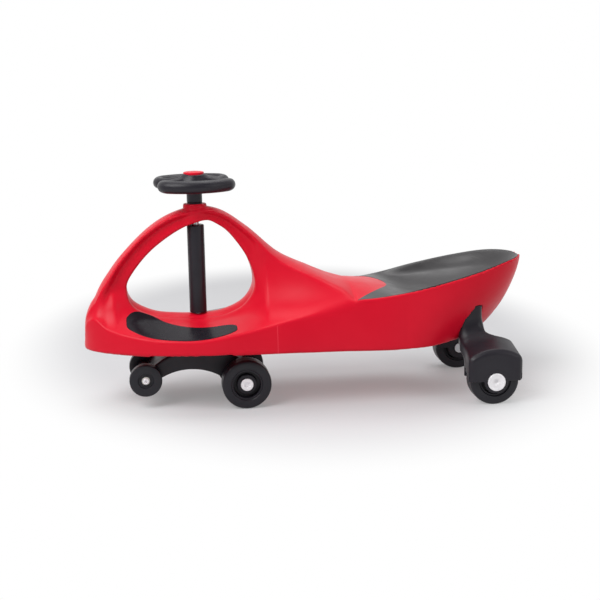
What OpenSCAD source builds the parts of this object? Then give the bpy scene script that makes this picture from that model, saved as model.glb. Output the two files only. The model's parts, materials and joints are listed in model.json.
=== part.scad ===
// Wiggle car: a child's ride-on that is driven by swinging its steering wheel.
// X runs along the car with the nose at -X, Z is up, and the floor is at Z = 0.
// The car's left side is at -Y. All sizes are in millimetres.

/* [Body] */
// Length of the moulded body, nose to tail
body_length = 784; // [740:1:820]
// Greatest width of the body, at the footrests
body_width = 234; // [220:1:250]
// Height of the arch's top above the underside plate
body_height = 240; // [232:1:248]
// Thickness of the moulded wall
wall = 4.5; // [3.5:0.1:6]
// Thickness of the plate that closes the underside
pan_thick = 3.5; // [2.5:0.1:5]
// Height of the underside plate above the axles of the road wheels
pan_rise = 65; // [64:0.5:68]
// Thickness of the seat insert
seat_thick = 4; // [2.5:0.1:6]
// Margin of body between the seat insert and the rim
seat_margin = 2.5; // [2:0.5:6]
// Thickness of a footrest pad
pad_thick = 3; // [2:0.1:5]
// Margin between a footrest pad and the edge of the deck
pad_margin = 5; // [4:0.5:10]
// Radius of the collar on top of the arch
collar_r = 20.5; // [18:0.5:24]
// How far the collar stands above the arch
collar_rise = 4; // [2:0.5:6]
// Radius of the boss under the deck that carries the column
floor_boss_r = 20; // [18:0.5:26]

/* [Steering column] */
// Place of the column along a body of the drawn length
column_place = -192; // [-198:1:-186]
// Radius of the steel steering shaft
shaft_r = 6.25; // [5:0.05:7]
// Outer radius of the column sleeve
sleeve_r = 15; // [13:0.5:17]
// Room between the sleeve and the arch
sleeve_room = 3; // [1:0.5:20]
// Outer radius of the two column bushes
bush_r = 11; // [9.5:0.1:13]
// Thickness of a bush flange
bush_flange = 2; // [1.5:0.1:3]
// Radius of the washers on the shaft
washer_r = 13; // [12:0.5:16]
// Thickness of the washer on which the car turns
thrust_thick = 2.5; // [1.5:0.1:3.5]
// Thickness of a plain steel washer
washer_thick = 2; // [1:0.1:3]
// Height of the shaft nut
nut_h = 10; // [8:0.5:12]
// Width across the flats of the shaft nut
nut_flats = 18; // [16:0.5:20]

/* [Steering wheel] */
// Height of the middle of the grips above the collar
grip_rise = 35; // [32:1:40]
// Radius of a grip's round section
grip_r = 11; // [9:0.5:12]
// Radius of the long curve of a grip
grip_bend = 80; // [72:1:88]
// How far the grip's curve is set off towards the hub
grip_shift = 16; // [10:1:20]
// Angle from the middle of a grip to its end
grip_angle = 39; // [34:1:42]
// Radius of the bend at a grip's end
grip_turn = 18; // [15:1:20]
// Angle of the bend at a grip's end
turn_angle = 118; // [110:1:124]
// How far the steering wheel is turned on its shaft
wheel_set = 5; // [-10:1:10]
// Radius of the hub's stem
stem_r = 13.5; // [12:0.5:16]
// Radius of the hub under its cap
hub_r = 26; // [22:0.5:30]
// Radius of the round cap
cap_r = 18; // [16:0.5:22]
// Height of the cap's dome over the hub
cap_rise = 5; // [3:0.5:7]

/* [Truck] */
// Half of the truck frame's width
truck_half = 38; // [34:0.5:38]
// Thickness of the truck frame's walls
truck_wall = 6; // [4.5:0.5:8]
// Radius of the truck frame's outer arch
truck_arch = 126; // [122:1:130]
// Radius of the arch cut below the truck frame
truck_under = 103; // [99:1:106]
// Radius of the truck's boss round the shaft
truck_boss_r = 17; // [15:0.5:22]
// Distance from the column back to the main axle
main_back = 76; // [70:1:82]
// Distance from the column forward to the safety axle
safety_ahead = 98; // [92:1:102]
// How much higher the safety axle lies than the main axle
safety_rise = 9; // [7:0.5:11]

/* [Wheels] */
// Radius of the road wheels
wheel_r = 43; // [40:0.5:45]
// Width of a road wheel
wheel_w = 36; // [30:0.5:37]
// Depth of the tyre over its hub
tyre_depth = 16; // [13:0.5:19]
// Width of the channel between a hub's rim and its boss
hub_channel = 7; // [5:0.5:10]
// How far the hub's boss stays inside the wheel's outer face
hub_recess = 5; // [3:0.5:8]
// Radius of the road wheels' axles
axle_r = 5; // [4:0.1:6]
// Wall of the bushes in the hubs
hub_bush_wall = 3; // [2:0.1:4]
// Half of the front track, to the inner faces of the main wheels
main_track = 51; // [50.5:0.5:55]
// Radius of the safety wheels
safety_r = 28.5; // [24:0.5:30]
// Width of a safety wheel
safety_w = 18; // [14:0.5:22]
// Half of the safety track, to the inner faces of the safety wheels
safety_track = 41; // [40.5:0.5:44]
// Radius of the safety axle
safety_axle_r = 4; // [3:0.1:5]
// Radius of the screw heads on the main axle
screw_r = 11; // [9:0.5:12]
// Radius of the screw heads on the safety axle
small_screw_r = 5.5; // [5:0.5:7]
// Thickness of the screw heads on the axles
screw_h = 3.5; // [2.5:0.5:5]

/* [Rear forks] */
// Distance from the post back to the rear axle
rear_back = 27; // [21:1:31]
// Distance from the post's middle to the fork's outer face
fork_reach = 74; // [72:0.5:76]
// Thickness of a fork's side walls
fork_wall = 5; // [4:0.5:6]
// Room between the wheel and the fork's side walls
fork_room = 3; // [2.5:0.5:4]
// Room between the wheel and the fender
fender_room = 3.5; // [3:0.5:5]
// Thickness of the fender's end walls
fender_end = 1.5; // [1:0.5:4]
// How far the fender's crown stands above the wheel, at its outer face
fender_crown_rise = 14; // [11:1:17]
// How far the fender's straight sides end below the wheel's top
fender_side_drop = 2; // [0:1:6]
// Radius of the fork's boss round the axle
fork_boss_r = 21; // [18:0.5:23]
// Half of the post's length along the car
post_half = 20; // [17:0.5:21]
// Half of the post's thickness, with round ends
post_round = 10; // [8:0.5:11]
// Place of the post along a body of the drawn length
post_place = 283; // [280:1:286]
// Distance from the car's middle to the post, for a body of the drawn width
post_mid = 78; // [76:0.5:80]
// Radius of the round end caps on the rear axles
end_cap_r = 15.5; // [12:0.5:18]
// Thickness of an end cap
end_cap_h = 3.5; // [2.5:0.5:5]

/* [Clearances] */
// Running clearance of a shaft or an axle in its bush, on the radius
run_gap = 0.06; // [0.03:0.01:0.1]
// Clearance of pieces that are fastened together
fit_gap = 0.15; // [0.05:0.01:0.2]
// Clearance between flat faces that turn past each other
face_gap = 0.3; // [0.2:0.05:0.6]

/* [Hidden] */
$fn = 72;
LEFT = -1;
RIGHT = 1;
eps = 0.01;

RED = [0.83, 0.09, 0.14];
SEAT_GREY = [0.31, 0.30, 0.30];
BLACK = [0.16, 0.16, 0.18];
STEEL = [0.72, 0.73, 0.75];
SILVER = [0.86, 0.86, 0.88];
NYLON = [0.88, 0.87, 0.83];

// The body's lines are drawn as [place along the car, value] for this length, width, height of
// the arch above the underside plate, and height of the plate
drawn = [784, 234, 240, 108];
sx = body_length / drawn[0];
sy = body_width / drawn[1];
sz = body_height / drawn[2];
pan_z = wheel_r + pan_rise;
tip = 0.5;
nose_end = tip - body_length / 2;
tail_end = body_length / 2 - tip;
// A drawn height on this body
function lift(z) = pan_z + (z - drawn[3]) * sz;

// Height of the middle of the upper face: nose, arch, spine, seat dish and tail rim
top_line = [[-392, 112], [-386, 156], [-370, 198], [-342, 243], [-307, 283], [-258, 324],
            [-212, 344], [-180, 348], [-150, 341], [-102, 309], [-50, 263], [2, 236],
            [51, 214], [110, 203], [146, 196], [190, 186], [240, 184], [290, 193],
            [340, 214], [375, 233], [392, 240]];
// Height of the edge that parts the skirt from the deck, and then of the seat's rim
edge_line = [[-392, 108], [-386, 146], [-379, 158], [-350, 146], [-302, 136], [-234, 132],
             [-190, 132.5], [-129, 141], [-64, 154], [0, 168], [75, 187], [112, 190],
             [153, 196], [225, 211], [293, 226], [358, 239], [392, 242]];
// Height of the underside
bottom_line = [[-392, 103], [-150, 102.5], [-44, 101.5], [76, 98.5], [145, 97], [200, 97.5],
               [240, 100], [280, 105.5], [310, 115], [340, 137], [365, 168], [380, 199],
               [388, 222], [392, 234]];
// Half width of the underside from the waist to the tail
keel_line = [[-177, 117], [-60, 115], [76, 110], [145, 111], [185, 107], [217, 97],
             [240, 85], [266, 70], [295, 50], [322, 30], [347, 19], [370, 12], [392, 4]];
// Half width of the arch and the spine between their creases
crease_line = [[-392, 2], [-384, 16], [-372, 25], [-350, 28], [-325, 26], [-258, 25],
               [-190, 26], [-130, 27], [-95, 30], [-63, 38], [-5, 56], [31, 68],
               [60, 85], [75, 98]];
// How far the creases lie below the middle of the arch and the spine
crown_line = [[-392, 2], [-375, 8], [-350, 10], [-325, 6], [-190, 7], [-110, 7], [-60, 12],
              [-5, 10], [35, 8], [60, 12], [75, 22.5]];
// Half width and height of the corner where the deck turns up into the arch and the spine
corner_y_line = [[-392, 2], [-384, 18], [-372, 27], [-350, 28], [-325, 20], [-290, 18],
                 [-200, 18], [-130, 20], [-100, 25], [-80, 34], [-60, 45], [-20, 66],
                 [30, 86], [75, 101]];
corner_z_line = [[-392, 110], [-386, 147], [-379, 161], [-350, 172], [-325, 178], [-306, 175],
                 [-288, 165], [-270, 157], [-228, 150.5], [-185, 149], [-145, 155],
                 [-129, 160], [-110, 168], [-90, 174], [-60, 176], [-20, 179],
                 [30, 185.5], [75, 188]];
// Length of the fillet in that corner, along each of its two faces
fillet_line = [[-392, 10], [-372, 40], [-350, 60], [-325, 48], [-290, 32], [-200, 22],
               [-130, 25], [-100, 40], [-80, 75], [-60, 130], [-20, 200], [75, 200]];
// Outline of the opening through the arch
window = [[-178, 324], [-221, 309], [-270, 275], [-305, 235], [-316, 207], [-306, 178.5],
          [-270, 159], [-228, 153], [-185, 152], [-145, 157], [-110, 175.5], [-93, 209],
          [-103, 253], [-131, 296], [-154, 316]];
// Inner edge of a footrest pad, as its distance from the car's middle
pad_inner_line = [[-319, 52], [-312, 33], [-300, 25], [-285, 23], [-267, 24], [-248, 34],
                  [-229, 46], [-210, 53], [-170, 60], [-149, 65], [-137, 76], [-131, 92]];
// First and last place of the pads, of the space inside the shell and of where it rises
drawn_pad = [-318, -131.5];
drawn_cavity = [-380, 250];
drawn_hollow = [-85, -40];
// Where the nose ends, the seat starts and the tail starts
drawn_nose = -177;
drawn_seat = 75;
drawn_tail = 200;
// The tip of the red tongue and the front points of the seat beside it
drawn_tongue = 146;
drawn_notch = 77;
// Half widths at the footrests, the waist and the hips
drawn_halves = [117, 103, 112];
pad_front = drawn_pad[0] * sx;
pad_rear = drawn_pad[1] * sx;
cavity_front = drawn_cavity[0] * sx;
cavity_rear = drawn_cavity[1] * sx;
hollow_from = drawn_hollow[0] * sx;
hollow_to = drawn_hollow[1] * sx;
nose_start = drawn_nose * sx;
seat_start = drawn_seat * sx;
tail_start = drawn_tail * sx;
tongue_x = drawn_tongue * sx;
notch_x = drawn_notch * sx;
nose_half = drawn_halves[0] * sy;
waist_half = drawn_halves[1] * sy;
tail_half = drawn_halves[2] * sy;
rim_lip = 2;
rim_fade = 30;

// Heights in the steering stack
column_x = column_place * sx;
deck_rise = 1.3;
deck_z = corner(column_x)[1] + deck_rise;
bush_lip = 2.5;
flange_r = bush_r + bush_lip;
flange_room = 0.5;
truck_top_z = pan_z - 1;
shaft_flange = 3;
thrust_z = truck_top_z + shaft_flange;
floor_boss_z = thrust_z + thrust_thick + face_gap;
sleeve_start = deck_z + bush_flange + face_gap;
arch_room = 6;
arch_under_z = lift(window[0][1]) - arch_room;
arch_skin = 8;
sleeve_z = arch_under_z - sleeve_room;
collar_z = pan_z + body_height + collar_rise;
grip_z = collar_z + grip_rise;
stem_z = collar_z + bush_flange + face_gap;
hub_rise = 16;
hub_top_z = grip_z + hub_rise;
well_rise = 5;
shaft_top_z = grip_z + well_rise;
truck_boss_h = 23;
boss_under_z = truck_top_z - truck_boss_h;
nut_stack = 16;
shaft_end_z = boss_under_z - nut_stack;
bolt_r = 4;
bolt_len = 20;
bolt_head_r = 7;
bolt_head_h = 5;
hub_well_r = washer_r - 1;
spigot_h = 3;

// Places of the wheels and what holds them
main_x = column_x + main_back;
safety_x = column_x - safety_ahead;
main_z = wheel_r;
rear_z = wheel_r;
safety_z = wheel_r + safety_rise;
main_mid = main_track + wheel_w / 2;
post_x = post_place * sx;
post_y = post_mid * sy;
post_cover = 46.5;
post_z = dish_height(post_x, post_y) - post_cover;
rear_x = post_x + rear_back;
fork_out = post_y + fork_reach;
fork_w = wheel_w + 2 * (fork_wall + fork_room);
fork_in = fork_out - fork_w;
rear_mid = (fork_in + fork_out) / 2;
hub_in = -wheel_w / 2 + face_gap;
hub_out = wheel_w / 2 - hub_recess;
main_axle_half = main_mid + hub_out + face_gap;
main_boss_half = main_mid + hub_in - 2 * face_gap;
safety_mid = safety_track + safety_w / 2;
safety_recess = 2;
safety_axle_half = safety_mid + safety_w / 2 - safety_recess + face_gap;
safety_boss_half = safety_track - face_gap;
tyre_seat_r = wheel_r - tyre_depth;
hub_rim = 3;
hub_web = 6;
hub_boss_r = tyre_seat_r - hub_rim - hub_channel;
hub_bush_r = axle_r + hub_bush_wall;
safety_bush_r = safety_axle_r + hub_bush_wall;
bush_len = 12;
tyre_round = 6;

// Screws that hold the underside plate
pan_screw_xs = [-300, -60, 60, 200];
drawn_screw_y = 70;
pan_screw_y = drawn_screw_y * sy;
pan_screw_r = 2;
pan_head_r = 4.5;
pan_head_h = 2.4;
pan_boss_r = 6;
pan_boss_flare = 3;
boss_reach_z = pan_z + body_height;
recess_up = 40;
// How far a cut runs past what it cuts through
through = 300;
pan_screw_len = 12;

// Value of a line at x: a cubic through its points, with the mean slope at each
function rise(k, i) = (k[i + 1][1] - k[i][1]) / (k[i + 1][0] - k[i][0]);
function slope(k, i) =
    i == 0 ? rise(k, 0)
    : i == len(k) - 1 ? rise(k, i - 1)
    : let (before = k[i][0] - k[i - 1][0], after = k[i + 1][0] - k[i][0])
      (rise(k, i - 1) * after + rise(k, i) * before) / (before + after);
function span(k, x, i = 0) = i >= len(k) - 2 || x < k[i + 1][0] ? i : span(k, x, i + 1);
function curve(k, x) =
    let (i = span(k, x), h = k[i + 1][0] - k[i][0],
         t = min(1, max(0, (x - k[i][0]) / h)))
    (2 * t * t * t - 3 * t * t + 1) * k[i][1] + (t * t * t - 2 * t * t + t) * h * slope(k, i)
    + (3 * t * t - 2 * t * t * t) * k[i + 1][1] + (t * t * t - t * t) * h * slope(k, i + 1);
function line(k, x) = curve(k, x / sx);
function height(k, x) = lift(line(k, x));
function mix(a, b, t) = a + (b - a) * t;
function smooth(a, b, x) = let (t = min(1, max(0, (x - a) / (b - a)))) t * t * (3 - 2 * t);

// Half width of the body at its edge: a pointed nose, a waist and a round tail
function nose_width(x) =
    let (t = min(1, (nose_start - x) / (nose_start - nose_end + 0.5)))
    nose_half * pow(1 - pow(t, 1.7), 0.56);
function tail_width(x) =
    let (t = min(1, (x - tail_start) / (tail_end - tail_start + 0.5)))
    tail_half * sqrt(1 - t * t);
function half_width(x) =
    x < nose_start ? nose_width(x)
    : x > tail_start ? tail_width(x)
    : x < seat_start ? mix(nose_half, waist_half, smooth(nose_start, seat_start, x))
    : mix(waist_half, tail_half, smooth(seat_start, tail_start, x));
function keel_width(x) = x < nose_start ? half_width(x) : sy * line(keel_line, x);
nose_lip = 3;
function top_z(x) = height(top_line, x);
function edge_z(x) =
    let (edge = height(edge_line, x)) x < 0 ? min(edge, top_z(x) - nose_lip) : edge;
function bottom_z(x) = height(bottom_line, x);
function crease_y(x) =
    x < seat_start ? min(sy * line(crease_line, x), half_width(x) - 2)
    : half_width(x) - rim_lip * min(1, half_width(x) / rim_fade);
function crease_z(x) = x < seat_start ? top_z(x) - sz * line(crown_line, x) : edge_z(x);
function corner(x) =
    x < seat_start
    ? [min(sy * line(corner_y_line, x), half_width(x) - 1), height(corner_z_line, x)]
    : [(half_width(x) + crease_y(x)) / 2, edge_z(x) + 1];

// The curve from the edge over the deck and up to the crease
function toward(a, b, len) = a + (b - a) * min(0.97, len / norm(b - a));
function edge_point(x) = [half_width(x), edge_z(x)];
function crease_point(x) = [crease_y(x), crease_z(x)];
function fillet_start(x) = toward(corner(x), edge_point(x), sz * line(fillet_line, x));
function fillet_end(x) = toward(corner(x), crease_point(x), sz * line(fillet_line, x));
function bezier(a, b, c, t) = a * (1 - t) * (1 - t) + b * 2 * t * (1 - t) + c * t * t;

// Height of the deck at a place inside its edge, down to the corner
function deck_height(x, y) =
    let (e = edge_point(x), p = fillet_start(x), k = corner(x), q = fillet_end(x))
    y >= p[0] ? mix(p[1], e[1], (y - p[0]) / (e[0] - p[0]))
    : let (a = p[0] - 2 * k[0] + q[0], b = 2 * (k[0] - p[0]), c = p[0] - y,
           root = sqrt(max(0, b * b - 4 * a * c)), t = min(1, 2 * c / (-b + root)))
      bezier(p, k, q, t)[1];
// Height of the seat's dish and of the spine between the creases
function dish_height(x, y) = mix(top_z(x), crease_z(x), pow(y / crease_y(x), 2));

// One half of the body's section, from the middle of the underside to the middle of the top
skirt_steps = 4;
fillet_steps = 5;
strip_steps = 5;
function skirt(x) =
    let (low = [keel_width(x), bottom_z(x)], high = edge_point(x),
         bulge = [max(low[0], high[0]) + 1, mix(low[1], high[1], 0.4)])
    [for (i = [0:skirt_steps]) bezier(low, bulge, high, i / skirt_steps)];
function half_section(x) = concat(
    skirt(x),
    [for (i = [0:fillet_steps])
        bezier(fillet_start(x), corner(x), fillet_end(x), i / fillet_steps)],
    [for (i = [0:strip_steps - 1])
        let (y = crease_y(x) * (1 - i / strip_steps)) [y, dish_height(x, y)]]);
function ring(half, low, high) = concat(
    [[0, low]], half, [[0, high]], [for (i = [len(half) - 1:-1:0]) [-half[i][0], half[i][1]]]);

// A solid skin over a row of rings that all have the same number of points
module loft(xs, rings) {
    n = len(rings[0]);
    m = len(xs);
    points = [for (j = [0:m - 1]) for (p = rings[j]) [xs[j], p[0], p[1]]];
    sides = [for (j = [0:m - 2]) for (i = [0:n - 1])
        let (a = j * n + i, b = j * n + (i + 1) % n)
        each [[a, a + n, b], [b, a + n, b + n]]];
    front = [for (i = [0:n - 1]) i];
    back = [for (i = [n - 1:-1:0]) (m - 1) * n + i];
    polyhedron(points, concat([front], sides, [back]), 4);
}

nose_steps = 10;
nose_reach = 92 * sx;
mid_count = 35;
tail_steps = 10;
body_xs = concat(
    [for (i = [0:nose_steps - 1]) nose_end + nose_reach * (1 - cos(90 * i / nose_steps))],
    [for (i = [0:mid_count]) mix(nose_end + nose_reach, tail_end - nose_reach, i / mid_count)],
    [for (i = [1:tail_steps]) tail_end - nose_reach * (1 - sin(90 * i / tail_steps))]);

module body_form() {
    loft(body_xs, [for (x = body_xs) ring(half_section(x), bottom_z(x), top_z(x))]);
}

// The space inside the shell, open below and closed by the underside plate
cavity_steps = 28;
cavity_xs = [for (i = [0:cavity_steps]) mix(cavity_front, cavity_rear, i / cavity_steps)];
cavity_open = 30;
cavity_low = pan_z - cavity_open;
roof_blend = 20;
roof_extra = 1;
function cavity_side(x) = min(half_width(x), keel_width(x)) - wall;
function hollow(x) = smooth(hollow_from, hollow_to, x);
function roof_wall(x) =
    wall + roof_extra + (seat_thick + roof_extra) * smooth(seat_start - roof_blend, seat_start, x);
function skin_height(x, y) = y < crease_y(x) ? dish_height(x, y) : deck_height(x, y);
function roof_z(x, y) =
    let (skin = skin_height(x, y))
    mix(min(skin, corner(x)[1]), skin, hollow(x)) - roof_wall(x);
valley_share = 0.85;
function cavity_half(x) =
    let (side = cavity_side(x), valley = min(corner(x)[0], side * valley_share))
    concat([[side, cavity_low]],
           [for (y = [side, (side + valley) / 2, valley, valley * 2 / 3, valley / 3])
               [y, roof_z(x, y)]]);
module cavity() {
    loft(cavity_xs, [for (x = cavity_xs) ring(cavity_half(x), cavity_low, roof_z(x, 0))]);
}

// The opening through the arch: a closed smooth line through its points
window_steps = 4;
function wrap(i) = window[(i + len(window)) % len(window)];
function window_point(i, t) =
    let (a = wrap(i - 1), b = wrap(i), c = wrap(i + 1), d = wrap(i + 2))
    0.5 * (2 * b + (c - a) * t + (2 * a - 5 * b + 4 * c - d) * t * t
           + (3 * b - a - 3 * c + d) * t * t * t);
module window_cut() {
    outline = [for (i = [0:len(window) - 1]) for (j = [0:window_steps - 1])
        let (p = window_point(i, j / window_steps)) [p[0] * sx, lift(p[1])]];
    rotate([90, 0, 0]) linear_extrude(body_width, center = true) polygon(outline);
}

// The seat insert covers the dish and leaves a red tongue between its two front points
seat_across = 14;
seat_along = 14;
function seat_half(x, gap) = half_width(min(x, tail_start)) - seat_margin + gap;
tongue_power = 1.9;
// The seat's front points are slender, so their gap is wider along the car
point_gap = 3;
function seat_first(q, gap) = mix(tongue_x, notch_x, pow(abs(q), tongue_power)) - point_gap * gap;
function seat_last(q, gap) =
    tail_start + (tail_end - tail_start - seat_margin + gap) * sqrt(max(0, 1 - q * q));
function seat_place(i, j, gap) =
    let (q = sin(mix(-90, 90, i / seat_across)),
         x = mix(seat_first(q, gap), max(seat_last(q, gap), tail_start), j / seat_along))
    [x, q * seat_half(x, gap)];
module seat_solid(gap, up, down) {
    places = [for (j = [0:seat_along]) [for (i = [0:seat_across]) seat_place(i, j, gap)]];
    slab(places, [for (row = places) [for (p = row) dish_height(p[0], p[1])]], up, down);
}

// A footrest pad lies on the deck beside the column
pad_along = 18;
pad_across = 3;
function pad_place(i, j, gap) =
    let (a = 180 * i / pad_along,
         x = mix(pad_front - gap, pad_rear + gap, (1 - cos(a)) / 2),
         inner = sy * line(pad_inner_line, x) - gap,
         outer = half_width(x) - pad_margin + gap,
         end = pow(sin(mix(8, 172, i / pad_along)), 0.35),
         mid = (inner + outer) / 2)
    [x, mid + (outer - inner) * end * (j / pad_across - 0.5)];
module pad_solid(gap, up, down) {
    places = [for (i = [0:pad_along]) [for (j = [0:pad_across]) pad_place(i, j, gap)]];
    slab(places, [for (row = places) [for (p = row) deck_height(p[0], p[1])]], up, down);
}

// A slab that follows a grid of places, from a height above to a depth below their surface
module slab(places, heights, up, down) {
    m = len(places);
    n = len(places[0]);
    function at(i, j, layer) = layer * m * n + i * n + j;
    points = [for (layer = [0, 1]) for (i = [0:m - 1]) for (j = [0:n - 1])
        [places[i][j][0], places[i][j][1], heights[i][j] + (layer == 0 ? up : -down)]];
    flat = [for (i = [0:m - 2]) for (j = [0:n - 2]) each [
        [at(i, j, 0), at(i, j + 1, 0), at(i + 1, j, 0)],
        [at(i + 1, j, 0), at(i, j + 1, 0), at(i + 1, j + 1, 0)],
        [at(i, j, 1), at(i + 1, j, 1), at(i, j + 1, 1)],
        [at(i + 1, j, 1), at(i + 1, j + 1, 1), at(i, j + 1, 1)]]];
    ends = [for (i = [0:m - 2]) each concat(
        wall_faces(at(i, 0, 0), at(i + 1, 0, 0), at(i, 0, 1), at(i + 1, 0, 1)),
        wall_faces(at(i + 1, n - 1, 0), at(i, n - 1, 0), at(i + 1, n - 1, 1), at(i, n - 1, 1)))];
    sides = [for (j = [0:n - 2]) each concat(
        wall_faces(at(0, j + 1, 0), at(0, j, 0), at(0, j + 1, 1), at(0, j, 1)),
        wall_faces(at(m - 1, j, 0), at(m - 1, j + 1, 0), at(m - 1, j, 1), at(m - 1, j + 1, 1)))];
    polyhedron(points, concat(flat, ends, sides), 4);
}
function wall_faces(a, b, c, d) = [[a, b, c], [b, d, c]];

// Round solids about the shaft and about the axles
module about_column(z = 0) { translate([column_x, 0, z]) children(); }
module tube(r, bore, low, high) {
    translate([0, 0, low]) difference() {
        cylinder(r = r, h = high - low);
        translate([0, 0, -1]) cylinder(r = bore, h = high - low + 2);
    }
}
module rod(r, low, high) { translate([0, 0, low]) cylinder(r = r, h = high - low); }
// Turns a solid that was drawn along Z so that it points out of the car's side
module out_at(x, y, z, side) {
    translate([x, side * y, z]) rotate([side == LEFT ? 90 : -90, 0, 0]) children();
}

// Where the underside plate's screws stand
module at_pan_screws() {
    for (x = pan_screw_xs * sx) for (side = [LEFT, RIGHT]) translate([x, side * pan_screw_y, 0])
        children();
}

// Body shell
module pan_boss() {
    low = pan_z + pan_thick;
    translate([0, 0, low])
        cylinder(r1 = pan_boss_r, r2 = pan_boss_r + pan_boss_flare, h = boss_reach_z - low, $fn = 24);
}
module post_pocket(side) {
    translate([post_x, side * post_y, 0]) {
        post_bar(fit_gap, cavity_low, post_z + fit_gap);
        rod(fork_bolt_r, post_z, post_z + fork_bolt_grip + 1);
    }
}
// The moulding, drawn out to the body's length, before it is bored
module moulding() {
    resize([tail_end - nose_end, 0, 0]) difference() {
        body_form();
        window_cut();
        difference() {
            cavity();
            at_pan_screws() pan_boss();
            about_column() rod(floor_boss_r, floor_boss_z, boss_reach_z, $fn = 48);
        }
        seat_solid(fit_gap, recess_up, seat_thick + fit_gap);
        for (side = [LEFT, RIGHT]) scale([1, side, 1])
            pad_solid(fit_gap, recess_up, pad_thick + fit_gap);
    }
}
module body_shell() color(RED) difference() {
    union() {
        moulding();
        about_column() rod(collar_r, arch_under_z + arch_skin, collar_z);
    }
    about_column() rod(bush_r + fit_gap, 0, deck_z + flange_r);
    about_column() rod(max(flange_r, sleeve_r) + flange_room, deck_z, deck_z + sleeve_r);
    about_column() rod(bush_r + fit_gap, arch_under_z - flange_r, collar_z + 1);
    at_pan_screws() rod(pan_screw_r, pan_z, pan_z + pan_thick + pan_screw_len);
    for (side = [LEFT, RIGHT]) post_pocket(side);
}

// Underside plate and its screws
pan_hole_room = 14;
function pan_x(x) = min(max(x, cavity_front + fit_gap), cavity_rear - fit_gap);
module underside_pan() color(RED) difference() {
    half = [for (x = cavity_xs) [pan_x(x), cavity_side(x) - 2 * fit_gap]];
    translate([0, 0, pan_z]) linear_extrude(pan_thick - fit_gap)
        polygon(concat(half, [for (i = [cavity_steps:-1:0]) [half[i][0], -half[i][1]]]));
    about_column() rod(truck_boss_r + pan_hole_room, 0, through);
    at_pan_screws() rod(pan_screw_r + fit_gap, 0, through);
}
module pan_screws() color(STEEL) at_pan_screws() {
    rod(pan_head_r, pan_z - pan_head_h, pan_z);
    rod(pan_screw_r - 0.05, pan_z - eps, pan_z + pan_thick + pan_screw_len - 1);
}

// Seat insert and footrest pads
module seat_cover() color(SEAT_GREY) seat_solid(0, 0, seat_thick);
module footrest_pad_right() color(BLACK) pad_solid(0, 0, pad_thick);
module footrest_pad_left() color(BLACK) mirror([0, 1, 0]) pad_solid(0, 0, pad_thick);

// Bushes in the deck and in the arch
module column_bush(low, high) {
    tube(bush_r, shaft_r + run_gap, low, high + eps);
    tube(flange_r, shaft_r + run_gap, high, high + bush_flange);
}
module lower_bush() color(NYLON) about_column() column_bush(floor_boss_z, deck_z);
module upper_bush() color(BLACK) about_column() column_bush(arch_under_z + arch_skin, collar_z);

// Rear forks: a post that stands in the body, and a fender over the wheel
fork_bolt_r = 3.5;
fork_bolt_grip = 16;
fork_bolt_head_r = 7;
fork_bolt_head_h = 5;
fender_half = wheel_r + fender_room + fender_end;
fender_side = wheel_r - fender_side_drop;
fender_crown = wheel_r + fender_crown_rise;
fender_bulge = fender_crown - fender_side;
arch_r = (pow(fender_half, 2) + pow(fender_bulge, 2)) / (2 * fender_bulge);
post_root = 2;
post_flare = 28;
post_foot_z = rear_z + fender_crown - post_root;
post_base_z = rear_z + fender_crown + post_flare;
bevel = 6;
shoulder_inset = 4;
shoulder_rise = 12;
shoulder_share = 0.45;
boss_wall = 2;
// The post: a flat bar with round ends, which may start further back
module post_bar(gap, low, high, back = 0) {
    flat = post_half - post_round;
    round = post_round + gap;
    translate([0, 0, low]) linear_extrude(high - low) {
        translate([back - flat, -round]) square([2 * flat - back, 2 * round]);
        for (x = [back - flat, flat]) translate([x, 0]) circle(r = round);
    }
}
// Side outline of the fender about the axle, drawn in by an inset
module fender_outline(inset, crown_up) {
    intersection() {
        translate([-fender_half + inset, 0])
            square([2 * (fender_half - inset), fender_crown + crown_up - inset]);
        translate([0, fender_crown + crown_up - inset - arch_r]) circle(r = arch_r, $fn = 96);
    }
}
module fender_slice(y, thick, inset, crown_up) {
    translate([0, 0, y]) linear_extrude(thick) fender_outline(inset, crown_up);
}
// The fork lies on its side here: X along the car, Y up, Z out of the car
module fork_solid() {
    post_dx = post_x - rear_x;
    difference() {
        union() {
            hull() {
                fender_slice(fork_out - 1, 1, bevel, 0, $fn = 32);
                fender_slice(fork_out - bevel, 1, 0, 0, $fn = 32);
                fender_slice(fork_in, 1, shoulder_inset, shoulder_rise, $fn = 32);
            }
            hull() {
                stand_post(post_dx)
                    post_bar(0, post_foot_z - rear_z, post_base_z - rear_z, post_round, $fn = 32);
                translate([0, 0, fork_in + 2]) linear_extrude(fork_w * shoulder_share)
                    intersection() {
                        fender_outline(2 * shoulder_inset, shoulder_rise);
                        translate([-fender_half, fender_side - 2 * shoulder_inset])
                            square([2 * (fender_half - 2 * shoulder_inset), fender_crown]);
                    }
            }
            stand_post(post_dx) post_bar(0, post_foot_z - rear_z, post_z - rear_z);
            rod(fork_boss_r, fork_in, fork_out);
        }
        difference() {
            union() {
                rod(wheel_r + fender_room, fork_in + fork_wall, fork_out - fork_wall);
                translate([-wheel_r - fender_room, -2 * wheel_r, fork_in + fork_wall])
                    cube([2 * (wheel_r + fender_room), 2 * wheel_r, fork_w - 2 * fork_wall]);
            }
            rod(hub_bush_r + boss_wall, fork_in, rear_mid + hub_in - face_gap - eps);
            rod(hub_bush_r + boss_wall, rear_mid + hub_out + face_gap, fork_out);
        }
        rod(axle_r + fit_gap, fork_in - 1, fork_out + 1);
        stand_post(post_dx) rod(fork_bolt_r + fit_gap, -rear_z, post_z - rear_z + 1);
        stand_post(post_dx)
            rod(fork_bolt_head_r + 1, -rear_z, post_foot_z - rear_z + fork_bolt_head_h);
    }
}
module stand_post(dx) { translate([dx, 0, post_y]) rotate([-90, 0, 0]) children(); }
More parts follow.
